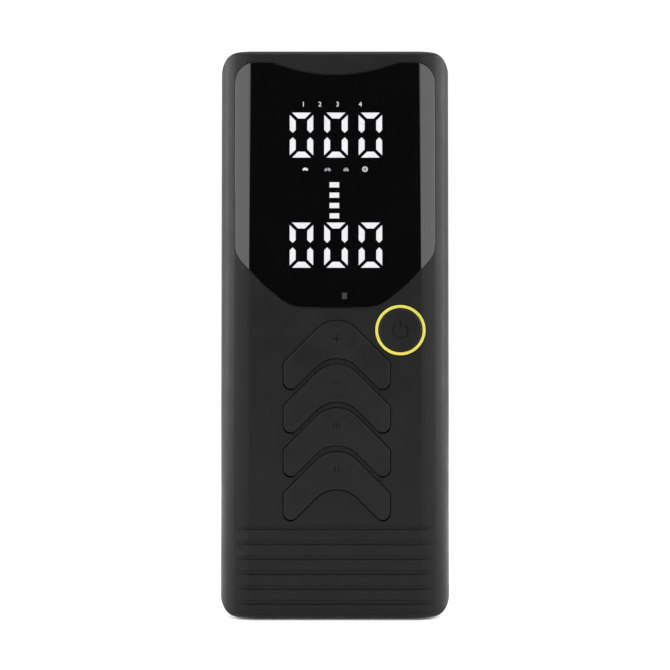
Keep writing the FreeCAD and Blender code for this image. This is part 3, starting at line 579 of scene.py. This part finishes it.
class Bench:
    """Modelling steps, done as by hand, that every sub-assembly uses.

    Attributes:
        MERGE: How close in millimetres two corners are to become one.
        FLAT: How far in degrees two faces may differ and still be merged.
        SKIN: How far in millimetres below a side's outermost point a face still lies on that side.
        OUTER: How far in millimetres below it an edge still counts as an outer edge.
        CURVED: How many degrees past a sharp edge's least angle faces are still smoothed.
    """

    MERGE = 0.002
    FLAT = 0.6
    SKIN = 0.01
    OUTER = 0.2
    CURVED = 20.0

    @staticmethod
    def clear() -> None:
        """Leave edit mode and deselect everything."""
        if bpy.context.object and bpy.context.object.mode == "EDIT":
            bpy.ops.object.mode_set(mode="OBJECT")
        bpy.ops.object.select_all(action="DESELECT")

    @staticmethod
    def pick(piece: Piece) -> None:
        """Select one piece alone and make it active.

        Args:
            piece: The piece.
        """
        Bench.clear()
        piece.select_set(True)
        bpy.context.view_layer.objects.active = piece

    @staticmethod
    def settle(piece: Piece, name: str) -> Piece:
        """Name a piece and move its place into its mesh.

        Args:
            piece: The piece.
            name: Its new name.

        Returns:
            The piece.
        """
        Bench.pick(piece)
        bpy.ops.object.transform_apply(location=True, rotation=True, scale=True)
        piece.name = name
        piece.data.name = name
        return piece

    @staticmethod
    def copy_node(node: str, name: str) -> Piece:
        """Copy a frame node as one merged mesh that can be worked on.

        Args:
            node: The node's name.
            name: The copy's name.

        Returns:
            The copy.
        """
        piece = bpy.data.objects.new(name, frame["nodes"][node].data.copy())
        piece.data.name = name
        bpy.context.scene.collection.objects.link(piece)
        piece.data.materials.clear()
        Bench.pick(piece)
        # A node is loose triangles, so they are joined into whole faces before an edge is rounded.
        bpy.ops.object.mode_set(mode="EDIT")
        bpy.ops.mesh.select_all(action="SELECT")
        bpy.ops.mesh.remove_doubles(threshold=Bench.MERGE * MM)
        bpy.ops.mesh.dissolve_limited(angle_limit=math.radians(Bench.FLAT))
        bpy.ops.object.mode_set(mode="OBJECT")
        if piece.data.has_custom_normals:
            bpy.ops.mesh.customdata_custom_splitnormals_clear()
        return piece

    @staticmethod
    def mark_edges(piece: Piece, angle: float, side: Side | None) -> None:
        """Give a piece's sharp edges the weight that a rounding follows.

        Args:
            piece: The piece.
            angle: The least angle in degrees of a sharp edge.
            side: The side whose outer edges alone count, or None for every edge.
        """
        Bench.pick(piece)
        bpy.ops.object.mode_set(mode="EDIT")
        bpy.ops.mesh.select_mode(type="EDGE")
        bpy.ops.mesh.select_all(action="DESELECT")
        bpy.ops.mesh.edges_select_sharp(sharpness=math.radians(angle))
        bpy.ops.object.mode_set(mode="OBJECT")
        corners = piece.data.vertices
        keep = [edge.select for edge in piece.data.edges]
        if side:
            axis, way = side.value
            reach = max(way * corner.co[axis] for corner in corners) - Bench.OUTER * MM
            keep = [edge.select and all(way * corners[end].co[axis] > reach for end in edge.vertices)
                    for edge in piece.data.edges]
        weights = piece.data.attributes.new("bevel_weight_edge", "FLOAT", "EDGE")
        weights.data.foreach_set("value", [float(kept) for kept in keep])

    @staticmethod
    def soften(piece: Piece, width: float, segments: int = 3, angle: float = 30.0,
               side: Side | None = None, held: bool = False) -> None:
        """Round a piece's sharp edges with an applied bevel, and smooth its curved faces.

        Args:
            piece: The piece.
            width: The rounding's width in millimetres, or 0 to smooth the curved faces alone.
            segments: How many faces make up the rounding.
            angle: The least angle in degrees of an edge that is rounded.
            side: The side whose outer edges alone are rounded, or None for every edge.
            held: Whether the rounding narrows everywhere to what the closest edges leave room for.
        """
        Bench.mark_edges(piece, angle, side)
        if width > 0:
            bevel = piece.modifiers.new("rounding", "BEVEL")
            bevel.width = width * MM
            bevel.segments = segments
            bevel.limit_method = "WEIGHT"
            bevel.use_clamp_overlap = held
            bpy.ops.object.modifier_apply(modifier=bevel.name)
        bpy.ops.object.shade_smooth_by_angle(angle=math.radians(angle + Bench.CURVED))
        weighted = piece.modifiers.new("flat_faces_rule", "WEIGHTED_NORMAL")
        weighted.keep_sharp = True
        bpy.ops.object.modifier_apply(modifier=weighted.name)

    @staticmethod
    def choose_faces(piece: Piece, chosen: Callable[[bpy.types.MeshPolygon], bool]) -> None:
        """Enter edit mode with only those faces selected that pass a test.

        Args:
            piece: The piece.
            chosen: The test.
        """
        Bench.pick(piece)
        bpy.ops.object.mode_set(mode="EDIT")
        bpy.ops.mesh.select_mode(type="FACE")
        bpy.ops.mesh.select_all(action="DESELECT")
        bpy.ops.object.mode_set(mode="OBJECT")
        for face in piece.data.polygons:
            face.select = chosen(face)
        bpy.ops.object.mode_set(mode="EDIT")

    @staticmethod
    def sink_panel(piece: Piece, side: Side, rim: float, deep: float) -> None:
        """Sink a rectangular panel with sloped walls into the flat face of one side.

        Args:
            piece: The piece.
            side: The side that the face is on.
            rim: How far inside the face's own box the panel starts, in millimetres.
            deep: How deep the panel lies in millimetres.
        """
        axis, way = side.value
        corners = [corner.co.copy() for corner in piece.data.vertices]
        skin = max(way * corner[axis] for corner in corners) - Bench.SKIN * MM
        spans = {}
        for other in (index for index in range(3) if index != axis):
            places = [corner[other] for corner in corners if way * corner[axis] > skin]
            spans[other] = (min(places) + rim * MM, max(places) - rim * MM)

        def on_skin(face: bpy.types.MeshPolygon) -> bool:
            """Say whether a face lies on the side."""
            return way * face.center[axis] > skin

        def inside(face: bpy.types.MeshPolygon) -> bool:
            """Say whether a face lies on the side and within the rim."""
            within = all(low < face.center[other] < high for other, (low, high) in spans.items())
            return on_skin(face) and within

        for other, span in spans.items():
            for place in span:
                Bench.choose_faces(piece, on_skin)
                point, across = Vector(), Vector()
                point[other], across[other] = place, 1.0
                bpy.ops.mesh.bisect(plane_co=point, plane_no=across)
                bpy.ops.object.mode_set(mode="OBJECT")
        Bench.choose_faces(piece, inside)
        bpy.ops.mesh.inset(thickness=deep * MM, depth=-deep * MM)
        bpy.ops.object.mode_set(mode="OBJECT")


@dataclass(frozen=True)
class Camera:
    """The photograph's point of view: level with the pack's middle and a little below it.

    Attributes:
        distance: How far it stands from its target in metres.
        tilt: Its direction in degrees above level, so below 0 it looks up.
        target: The point that it looks at, in metres.
        object_pixels: The pack's height in the photograph.
        image_pixels: The photograph's width.
        height: The pack's height in metres.
        sensor: The width of its sensor in millimetres.
    """

    distance: float = 0.45
    tilt: float = -1.3
    target: Place = (0.0, -0.0234, 0.0993)
    object_pixels: float = 572.5
    image_pixels: float = 670.0
    height: float = 0.2
    sensor: float = 36.0

    def build(self) -> None:
        """Make the camera and make it the scene's own."""
        camera = bpy.data.cameras.new("camera")
        camera.sensor_width = self.sensor
        camera.sensor_fit = "HORIZONTAL"
        share = self.object_pixels / self.image_pixels
        camera.lens = self.sensor * share * self.distance / self.height
        eye = bpy.data.objects.new("camera", camera)
        bpy.context.scene.collection.objects.link(eye)
        target, tilt = Vector(self.target), math.radians(self.tilt)
        eye.location = target + Vector((0.0, -math.cos(tilt), math.sin(tilt))) * self.distance
        eye.rotation_euler = (target - eye.location).to_track_quat("-Z", "Y").to_euler()
        bpy.context.scene.camera = eye


@dataclass(frozen=True)
class Softbox:
    """One large soft light that faces the pack.

    Attributes:
        angle: Its direction in degrees, from straight in front towards the side.
        rise: Its direction in degrees above level.
        distance: How far it stands from the pack in metres.
        size: Its width and height in metres.
        radiance: How bright its face is, where 1 is white.
    """

    angle: float
    rise: float
    distance: float
    size: Pair
    radiance: float

    def build(self, side: int) -> None:
        """Hang the light where it belongs, facing the pack.

        Args:
            side: -1 for the left and 1 for the right.
        """
        light = bpy.data.lights.new(f"softbox_{self.angle:.0f}_{side}", "AREA")
        light.shape = "RECTANGLE"
        light.size, light.size_y = self.size
        # A flat face that shines into a half space gives off pi times its radiance per unit of area.
        light.energy = self.radiance * light.size * light.size_y * math.pi
        lamp = bpy.data.objects.new(light.name, light)
        bpy.context.scene.collection.objects.link(lamp)
        turn, rise = math.radians(self.angle), math.radians(self.rise)
        centre = Vector((0.0, 0.0, CAD_BOUNDS[1][2] / 2))
        level = math.cos(rise)
        away = Vector((side * math.sin(turn) * level, -math.cos(turn) * level, math.sin(rise)))
        lamp.location = centre + away * self.distance
        lamp.rotation_euler = (centre - lamp.location).to_track_quat("-Z", "Y").to_euler()
        lamp.visible_camera = False


@dataclass(frozen=True)
class Studio:
    """Pale floor and surround, softboxes on both sides and a dark card behind the camera.

    Attributes:
        backdrop: How bright the surround is, where 1 is white.
        softboxes: The lights that hang on both sides.
        overhead: The light that hangs over the pack.
        floor_size: The floor's width in metres.
        floor_drop: How far the floor lies under the pack in metres.
        floor_tones: The floor's darkest and lightest colour.
        floor_rough: The floor's least and most roughness.
        floor_patches: The size in millimetres of the patches of its tone and of its roughness.
        card_size: The card's width and height in metres.
        card_place: The card's middle in metres.
        card_tone: The card's colour.
        card_rough: The card's roughness.
    """

    backdrop: float = 1.15
    softboxes: tuple[Softbox, ...] = (
        Softbox(37.0, 14.0, 1.03, (1.05, 1.3), 2.7),
        Softbox(94.0, 14.0, 1.03, (0.93, 1.3), 5.5),
    )
    overhead: Softbox = Softbox(0.0, 84.0, 1.2, (1.1, 0.8), 2.6)
    floor_size: float = 8.0
    floor_drop: float = 0.0002
    floor_tones: tuple[Colour, Colour] = ((0.86, 0.86, 0.86), (0.9, 0.9, 0.9))
    floor_rough: Pair = (0.5, 0.7)
    floor_patches: Pair = (60.0, 20.0)
    card_size: Pair = (0.56, 1.7)
    card_place: Place = (0.0, -1.1, 0.35)
    card_tone: Colour = (0.005, 0.005, 0.005)
    card_rough: float = 0.9

    def build(self) -> None:
        """Make floor, card, lights and world."""
        self.floor()
        self.card()
        for side in (-1, 1):
            for softbox in self.softboxes:
                softbox.build(side)
        self.overhead.build(1)
        self.world()
        settings = bpy.context.scene.view_settings
        settings.view_transform = "Standard"
        settings.look = "None"

    def floor(self) -> None:
        """Lay a wide pale floor under the pack."""
        Bench.clear()
        bpy.ops.mesh.primitive_plane_add(size=self.floor_size, location=(0.0, 0.0, -self.floor_drop))
        plane = bpy.context.object
        tree = NodeTree("studio_floor")
        tone, sheen = (tree.noise(size) for size in self.floor_patches)
        tree.set("Base Color", tree.blend(tree.spread(tone, 0.0, 1.0), *self.floor_tones))
        tree.set("Roughness", tree.spread(sheen, *self.floor_rough))
        plane.data.materials.append(tree.material)
        Bench.settle(plane, "studio_floor")

    def card(self) -> None:
        """Stand a black card behind the camera that only reflections see."""
        Bench.clear()
        bpy.ops.mesh.primitive_plane_add(size=1.0, location=self.card_place, rotation=(UPRIGHT, 0, 0))
        card = bpy.context.object
        card.scale = (*self.card_size, 1.0)
        tree = NodeTree("studio_card")
        tree.set("Base Color", (*self.card_tone, 1.0))
        tree.set("Roughness", self.card_rough)
        tree.set("Specular IOR Level", 0.0)
        card.data.materials.append(tree.material)
        Bench.settle(card, "studio_card")
        card.visible_camera = False

    def world(self) -> None:
        """Light everything softly with a white surround."""
        world = bpy.data.worlds.new("studio_world")
        world.use_nodes = True
        background = world.node_tree.nodes["Background"]
        background.inputs["Color"].default_value = (1.0, 1.0, 1.0, 1.0)
        background.inputs["Strength"].default_value = self.backdrop
        bpy.context.scene.world = world


class Wardrobe:
    """Builds each finish once and hands it to the frame's nodes and to new pieces."""

    def __init__(self) -> None:
        """Build every finish."""
        self.materials = {finish.name: finish.build() for finish in FINISHES}

    def dress_frame(self) -> int:
        """Give every frame node its finish.

        Returns:
            How many nodes there are.
        """
        slots = {part["node"]: part["material_slot"] for part in frame["record"]["subparts"]}
        for name, node in frame["nodes"].items():
            node.data.materials.clear()
            node.data.materials.append(self.materials[slots[name]])
        return len(slots)

    def dress(self, piece: Piece, slot: str) -> None:
        """Give a new piece the finish of a record's material slot.

        Args:
            piece: The piece.
            slot: The record's material slot.
        """
        piece.data.materials.clear()
        piece.data.materials.append(self.materials[slot])


@dataclass(frozen=True)
class Refined:
    """A frame node whose copy gets its edges rounded as a moulding's are.

    Attributes:
        node: The frame node that the piece stands for.
        slot: The material slot.
        body: The body that it rides on.
        width: The rounding's width in millimetres, or 0 for none.
        side: The side whose outer edges alone are rounded, or None for every edge.
        panel: The width of the rim and the depth of a panel sunk into that side, both in millimetres.
    """

    node: str
    slot: str
    body: str
    width: float
    side: Side | None = None
    panel: Pair | None = None

    def build(self, wardrobe: Wardrobe) -> Piece:
        """Make the rounded copy and hide the plain node.

        Args:
            wardrobe: Where the finish comes from.

        Returns:
            The piece.
        """
        piece = Bench.copy_node(self.node, self.node + "_moulded")
        Bench.soften(piece, self.width, side=self.side)
        if self.panel:
            Bench.sink_panel(piece, self.side, *self.panel)
        wardrobe.dress(piece, self.slot)
        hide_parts(self.node)
        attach(piece, self.body)
        return piece


@dataclass(frozen=True)
class ValveSpring:
    """The outlet valve's spring, a smoothed copy of its node. The real spring shortens as the valve disc
    lifts.

    Attributes:
        lift: How far the disc lifts in millimetres; not used.
    """

    lift: float = 1.0

    def build(self, wardrobe: Wardrobe) -> Piece:
        """Make the smoothed copy of the spring and hide the plain node.

        Args:
            wardrobe: Where the finish comes from.

        Returns:
            The piece.
        """
        piece = Bench.copy_node("valve_spring", "valve_spring_coil")
        Bench.soften(piece, 0.0)
        wardrobe.dress(piece, "spring_steel")
        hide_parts("valve_spring")
        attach(piece, "case")
        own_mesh(piece)
        return piece


class Marks:
    """Small flat marks that lie on a front face: bars, rings, arcs and numbers. Sizes are in millimetres.

    Attributes:
        THICK: How thick bars and arcs are.
        CORNER: The rounding of a bar's edges, as a share of its smaller side.
        RING_FACES: How many faces go round a ring and round its line.
        ARC_FACES: How many faces go along an arc.
        MERGE: How close two corners of an arc are to become one.
        NUMBER_HALF: Half a number's thickness.
        NUMBER_SHARE: A digit's height as a share of its type size.
        NUMBER_FACES: How many faces make up each curve of a number.
    """

    THICK = 0.03
    CORNER = 0.22
    RING_FACES = (48, 10)
    ARC_FACES = 32
    MERGE = 0.001
    NUMBER_HALF = 0.02
    NUMBER_SHARE = 0.72
    NUMBER_FACES = 4

    @staticmethod
    def bar(middle: Place, size: Pair, lean: float = 0.0) -> Piece:
        """Lay one bar with rounded edges on a front face.

        Args:
            middle: Its middle.
            size: Its width and height.
            lean: How far it is turned in degrees.

        Returns:
            The bar.
        """
        Bench.clear()
        turned = (0, math.radians(lean), 0)
        bpy.ops.mesh.primitive_cube_add(size=1.0, location=Vector(middle) * MM, rotation=turned)
        mark = bpy.context.object
        mark.scale = Vector((size[0], Marks.THICK, size[1])) * MM
        Bench.settle(mark, "bar")
        Bench.soften(mark, min(size) * Marks.CORNER, segments=2, held=True)
        return mark

    @staticmethod
    def ring(middle: Place, radius: float, line: float, flat: float = 0.5) -> Piece:
        """Lay a thin ring on a front face.

        Args:
            middle: Its middle.
            radius: Its radius.
            line: The width of its line.
            flat: Its thickness as a share of the line's width.

        Returns:
            The ring.
        """
        Bench.clear()
        around, across = Marks.RING_FACES
        bpy.ops.mesh.primitive_torus_add(location=Vector(middle) * MM, rotation=(UPRIGHT, 0, 0),
                                         major_radius=radius * MM, minor_radius=line * MM / 2,
                                         major_segments=around, minor_segments=across)
        mark = bpy.context.object
        mark.scale.z = flat
        Bench.settle(mark, "ring")
        bpy.ops.object.shade_smooth()
        return mark

    @staticmethod
    def arc(middle: Place, radius: float, line: float, gap: float) -> Piece:
        """Sweep an open ring whose gap is at the top.

        Args:
            middle: Its middle.
            radius: Its radius.
            line: The width of its line.
            gap: The angle that it leaves open in degrees.

        Returns:
            The arc.
        """
        Bench.clear()
        place = Vector(middle) * MM
        bpy.ops.mesh.primitive_plane_add(size=1.0, location=place + Vector((0, 0, radius * MM)),
                                         rotation=(0, UPRIGHT, 0))
        mark = bpy.context.object
        mark.scale = (line * MM, Marks.THICK * MM, 1.0)
        Bench.settle(mark, "arc")
        bpy.ops.object.mode_set(mode="EDIT")
        bpy.ops.mesh.select_all(action="SELECT")
        bpy.ops.transform.rotate(value=math.radians(gap / 2), orient_axis="Y", orient_type="GLOBAL",
                                 center_override=place)
        bpy.ops.mesh.spin(steps=Marks.ARC_FACES, angle=math.radians(360.0 - gap), center=place,
                          axis=(0.0, 1.0, 0.0))
        bpy.ops.mesh.select_all(action="SELECT")
        bpy.ops.mesh.remove_doubles(threshold=Marks.MERGE * MM)
        bpy.ops.mesh.normals_make_consistent(inside=False)
        bpy.ops.object.mode_set(mode="OBJECT")
        return mark

    @staticmethod
    def number(text: str, middle: Place, tall: float) -> Piece:
        """Stand one plain number on a front face.

        Args:
            text: The number.
            middle: Its middle.
            tall: Its height.

        Returns:
            The number as a mesh.
        """
        Bench.clear()
        bpy.ops.object.text_add(location=Vector(middle) * MM, rotation=(UPRIGHT, 0, 0))
        mark = bpy.context.object
        mark.data.body = text
        mark.data.size = tall * MM / Marks.NUMBER_SHARE
        mark.data.align_x = "CENTER"
        mark.data.align_y = "CENTER"
        mark.data.extrude = Marks.NUMBER_HALF * MM
        mark.data.resolution_u = Marks.NUMBER_FACES
        bpy.ops.object.convert(target="MESH")
        return Bench.settle(bpy.context.object, "number")

    @staticmethod
    def gather(pieces: list[Piece], name: str) -> Piece:
        """Join several marks into one piece.

        Args:
            pieces: The marks.
            name: The piece's name.

        Returns:
            The piece.
        """
        Bench.clear()
        for piece in pieces:
            piece.select_set(True)
        bpy.context.view_layer.objects.active = pieces[0]
        if len(pieces) > 1:
            bpy.ops.object.join()
        return Bench.settle(bpy.context.object, name)


@dataclass(frozen=True)
class CarSymbol:
    """A car from the side: body, cabin and two wheels. Sizes are in millimetres.

    Attributes:
        body: The body's width and height.
        body_drop: How far the body lies below the symbol's middle.
        cabin: The cabin's width and height.
        cabin_shift: How far the cabin lies across and above the symbol's middle.
        wheel: The wheels' radius and the width of their line.
        wheel_shift: How far the wheels lie to the sides of and below the symbol's middle.
    """

    body: Pair = (1.9, 0.45)
    body_drop: float = 0.05
    cabin: Pair = (1.05, 0.4)
    cabin_shift: Pair = (-0.05, 0.32)
    wheel: Pair = (0.17, 0.16)
    wheel_shift: Pair = (0.55, 0.35)

    def build(self, middle: Place) -> list[Piece]:
        """Draw the car.

        Args:
            middle: The symbol's middle.

        Returns:
            Its marks.
        """
        x, y, z = middle
        across, down = self.wheel_shift
        marks = [Marks.bar((x, y, z - self.body_drop), self.body),
                 Marks.bar((x + self.cabin_shift[0], y, z + self.cabin_shift[1]), self.cabin)]
        return marks + [Marks.ring((x + side * across, y, z - down), *self.wheel) for side in (-1, 1)]


@dataclass(frozen=True)
class CycleSymbol:
    """A two-wheeler from the side: two wheels, a frame bar, a stem and a saddle. Sizes are in millimetres.

    Attributes:
        reach: Half the distance between its wheels.
        wheel: The wheels' radius and the width of their line.
        wheel_drop: How far the wheels lie below the symbol's middle.
        bar_line: The width of the frame bar.
        bar_rise: How far the frame bar lies above the symbol's middle.
        bar_lean: How far the frame bar is turned in degrees.
        stem: The stem's width and height.
        stem_shift: How far the stem lies across, as a share of the reach, and above the middle.
        stem_lean: How far the stem is turned in degrees.
        saddle: The saddle's width and height.
        saddle_shift: How far the saddle lies across, as a share of the reach, and above the middle.
    """

    reach: float
    wheel: Pair = (0.34, 0.12)
    wheel_drop: float = 0.3
    bar_line: float = 0.15
    bar_rise: float = 0.02
    bar_lean: float = -14.0
    stem: Pair = (0.12, 0.75)
    stem_shift: Pair = (0.8, 0.22)
    stem_lean: float = -18.0
    saddle: Pair = (0.45, 0.13)
    saddle_shift: Pair = (-0.55, 0.38)

    def build(self, middle: Place) -> list[Piece]:
        """Draw the two-wheeler.

        Args:
            middle: The symbol's middle.

        Returns:
            Its marks.
        """
        x, y, z = middle
        marks = [Marks.ring((x + side * self.reach, y, z - self.wheel_drop), *self.wheel) for side in (-1, 1)]
        marks.append(Marks.bar((x, y, z + self.bar_rise), (2 * self.reach, self.bar_line), self.bar_lean))
        across, up = self.stem_shift
        marks.append(Marks.bar((x + self.reach * across, y, z + up), self.stem, self.stem_lean))
        across, up = self.saddle_shift
        marks.append(Marks.bar((x + self.reach * across, y, z + up), self.saddle))
        return marks


@dataclass(frozen=True)
class BallSymbol:
    """A ball: a ring with two crossed seams. Sizes are in millimetres.

    Attributes:
        radius: The ring's radius.
        line: The width of the ring's line.
        seam: The seams' length and width.
    """

    radius: float = 0.8
    line: float = 0.3
    seam: Pair = (1.5, 0.14)

    def build(self, middle: Place) -> list[Piece]:
        """Draw the ball.

        Args:
            middle: The symbol's middle.

        Returns:
            Its marks.
        """
        ring = Marks.ring(middle, self.radius, self.line)
        return [ring, Marks.bar(middle, self.seam), Marks.bar(middle, self.seam[::-1])]


@dataclass(frozen=True)
class WindowMarks:
    """Printed marks on the display window: plain numbers, road symbols and a sensor spot.

    Sizes are in millimetres.

    Attributes:
        proud: How far the marks' middle stands out of the window.
        number_z: The height of the row of numbers.
        number_x: Where each number stands.
        number_tall: The numbers' height.
        symbol_z: The height of the row of symbols.
        symbol_x: Where each symbol stands.
        symbols: The symbols: car, motorbike, bicycle and ball.
        sensor: The sensor spot's place.
        sensor_size: The sensor spot's size.
        sensor_sunk: How far the sensor spot lies behind the other marks.
    """

    proud: float = 0.015
    number_z: float = 180.2
    number_x: tuple[float, ...] = (-11.1, -5.3, 0.9, 8.9)
    number_tall: float = 1.75
    symbol_z: float = 157.4
    symbol_x: tuple[float, ...] = (-10.4, -2.6, 3.9, 10.5)
    symbols: tuple[CarSymbol | CycleSymbol | BallSymbol, ...] = (
        CarSymbol(), CycleSymbol(0.68), CycleSymbol(0.5), BallSymbol())
    sensor: Pair = (3.3, 113.0)
    sensor_size: Pair = (1.7, 2.2)
    sensor_sunk: float = 0.01

    def build(self, wardrobe: Wardrobe) -> list[Piece]:
        """Make the three pieces and dress them.

        Args:
            wardrobe: Where the finishes come from.

        Returns:
            The pieces.
        """
        low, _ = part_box("display_lens")
        y = low[1] / MM - self.proud
        digits = [Marks.number(str(index), (x, y, self.number_z), self.number_tall)
                  for index, x in enumerate(self.number_x, 1)]
        numbers = Marks.gather(digits, "window_numbers")
        shapes = [mark for x, symbol in zip(self.symbol_x, self.symbols)
                  for mark in symbol.build((x, y, self.symbol_z))]
        symbols = Marks.gather(shapes, "window_symbols")
        x, z = self.sensor
        spot = Marks.bar((x, y + self.sensor_sunk, z), self.sensor_size)
        sensor = Marks.gather([spot], "window_sensor")
        for piece, slot in ((numbers, "lit_white"), (symbols, "lit_white"), (sensor, "chip_black")):
            wardrobe.dress(piece, slot)
            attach(piece, "case")
        return [numbers, symbols, sensor]


@dataclass(frozen=True)
class KeyMark:
    """The faint ring and plain symbol on one roof-shaped key. Sizes are in millimetres.

    Attributes:
        key: The key's node and body.
        symbol: Which symbol it carries.
        drop: How far the ring's middle lies below the key's top.
        radius: The ring's radius.
        line: The width of the ring's line.
        flat: The ring's thickness as a share of its line's width.
        reach: The length of the strokes of a plus or minus.
        tall: The height of upright bars.
        stroke: The width of the strokes.
        three_step: The spacing of three bars.
        two_step: How far each of two bars stands from the middle.
        sunk: How far the strokes' middle lies behind the key's face.
        ring_sunk: How far the ring's middle lies behind the strokes'.
    """

    key: str
    symbol: Symbol
    drop: float = 6.7
    radius: float = 4.55
    line: float = 0.16
    flat: float = 0.3
    reach: float = 3.0
    tall: float = 2.4
    stroke: float = 0.42
    three_step: float = 1.0
    two_step: float = 0.6
    sunk: float = 0.011
    ring_sunk: float = 0.009

    def strokes(self) -> list[tuple[float, Pair]]:
        """List the symbol's strokes.

        Returns:
            Each stroke's place across, and its width and height.
        """
        upright = (self.stroke, self.tall)
        return {
            Symbol.PLUS: [(0.0, (self.reach, self.stroke)), (0.0, (self.stroke, self.reach))],
            Symbol.MINUS: [(0.0, (self.reach, self.stroke))],
            Symbol.THREE_BARS: [(step * self.three_step, upright) for step in (-1, 0, 1)],
            Symbol.TWO_BARS: [(step * self.two_step, upright) for step in (-1, 1)],
        }[self.symbol]

    def build(self, wardrobe: Wardrobe) -> Piece:
        """Make the mark.

        Args:
            wardrobe: Where the finish comes from.

        Returns:
            The piece.
        """
        low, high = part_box(self.key)
        x = (low[0] + high[0]) / 2 / MM
        y = low[1] / MM + self.sunk
        z = high[2] / MM - self.drop
        parts = [Marks.bar((x + across, y, z), size) for across, size in self.strokes()]
        parts.append(Marks.ring((x, y + self.ring_sunk, z), self.radius, self.line, self.flat))
        mark = Marks.gather(parts, f"{self.key}_mark")
        wardrobe.dress(mark, "panel_black")
        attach(mark, self.key)
        return mark


@dataclass(frozen=True)
class PowerMark:
    """The switch-on symbol on the round button: an open ring with an upright stroke.

    Sizes are in millimetres.

    Attributes:
        radius: The ring's radius.
        line: The width of its lines.
        gap: The angle that the ring leaves open at the top, in degrees.
        drop: How far the ring's middle lies below the button's.
        stem_rise: How far the stroke's middle lies above the button's.
        stem_tall: The stroke's height.
        sunk: How far the symbol's middle lies behind the button's face.
    """

    radius: float = 2.65
    line: float = 0.5
    gap: float = 70.0
    drop: float = 0.2
    stem_rise: float = 2.1
    stem_tall: float = 2.4
    sunk: float = 0.011

    def build(self, wardrobe: Wardrobe) -> Piece:
        """Make the mark.

        Args:
            wardrobe: Where the finish comes from.

        Returns:
            The piece.
        """
        low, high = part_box("power_button")
        x, z = (low[0] + high[0]) / 2 / MM, (low[2] + high[2]) / 2 / MM
        y = low[1] / MM + self.sunk
        ring = Marks.arc((x, y, z - self.drop), self.radius, self.line, self.gap)
        stem = Marks.bar((x, y, z + self.stem_rise), (self.line, self.stem_tall))
        mark = Marks.gather([ring, stem], "power_mark")
        wardrobe.dress(mark, "panel_black")
        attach(mark, "power_button")
        return mark


DOOR_PANEL = (2.2, 0.35)
KEYS = {
    "key_up": Symbol.PLUS,
    "key_down": Symbol.MINUS,
    "key_mode": Symbol.THREE_BARS,
    "key_light": Symbol.TWO_BARS,
}
MOULDED = (
    Refined("front_shell", "case_black", "case", 0.22, Side.FRONT),
    Refined("rear_cover", "case_black", "case", 0.12, Side.BACK),
    Refined("top_cap", "cap_black", "case", 0.25),
    Refined("base_cap", "foot_rubber", "case", 0.12),
    Refined("display_lens", "window_gloss", "case", 0.12),
    *(Refined(key, "key_black", key, 0.42, Side.FRONT) for key in KEYS),
    Refined("power_button", "key_black", "power_button", 0.2, Side.FRONT),
    Refined("power_ring", "ring_yellow", "case", 0.15, Side.FRONT),
    Refined("usb_door", "door_rubber", "usb_door", 0.0, Side.RIGHT, DOOR_PANEL),
    Refined("jump_door", "door_rubber", "jump_door", 0.0, Side.LEFT, DOOR_PANEL),
)


def report(piece: Piece) -> None:
    """Log a finished piece and how many faces it has."""
    log.info("%s: %d faces", piece.name, len(piece.data.polygons))


def main() -> None:
    """Build the finishes, the pieces and the studio, in order."""
    logging.basicConfig(level=logging.INFO, format="%(name)s: %(message)s")
    Camera().build()
    Studio().build()
    wardrobe = Wardrobe()
    log.info("dressed %d frame nodes", wardrobe.dress_frame())
    for moulding in (*MOULDED, ValveSpring()):
        report(moulding.build(wardrobe))
    for piece in WindowMarks().build(wardrobe):
        report(piece)
    for mark in (*(KeyMark(key, symbol) for key, symbol in KEYS.items()), PowerMark()):
        report(mark.build(wardrobe))


if __name__ == "__main__":
    main()
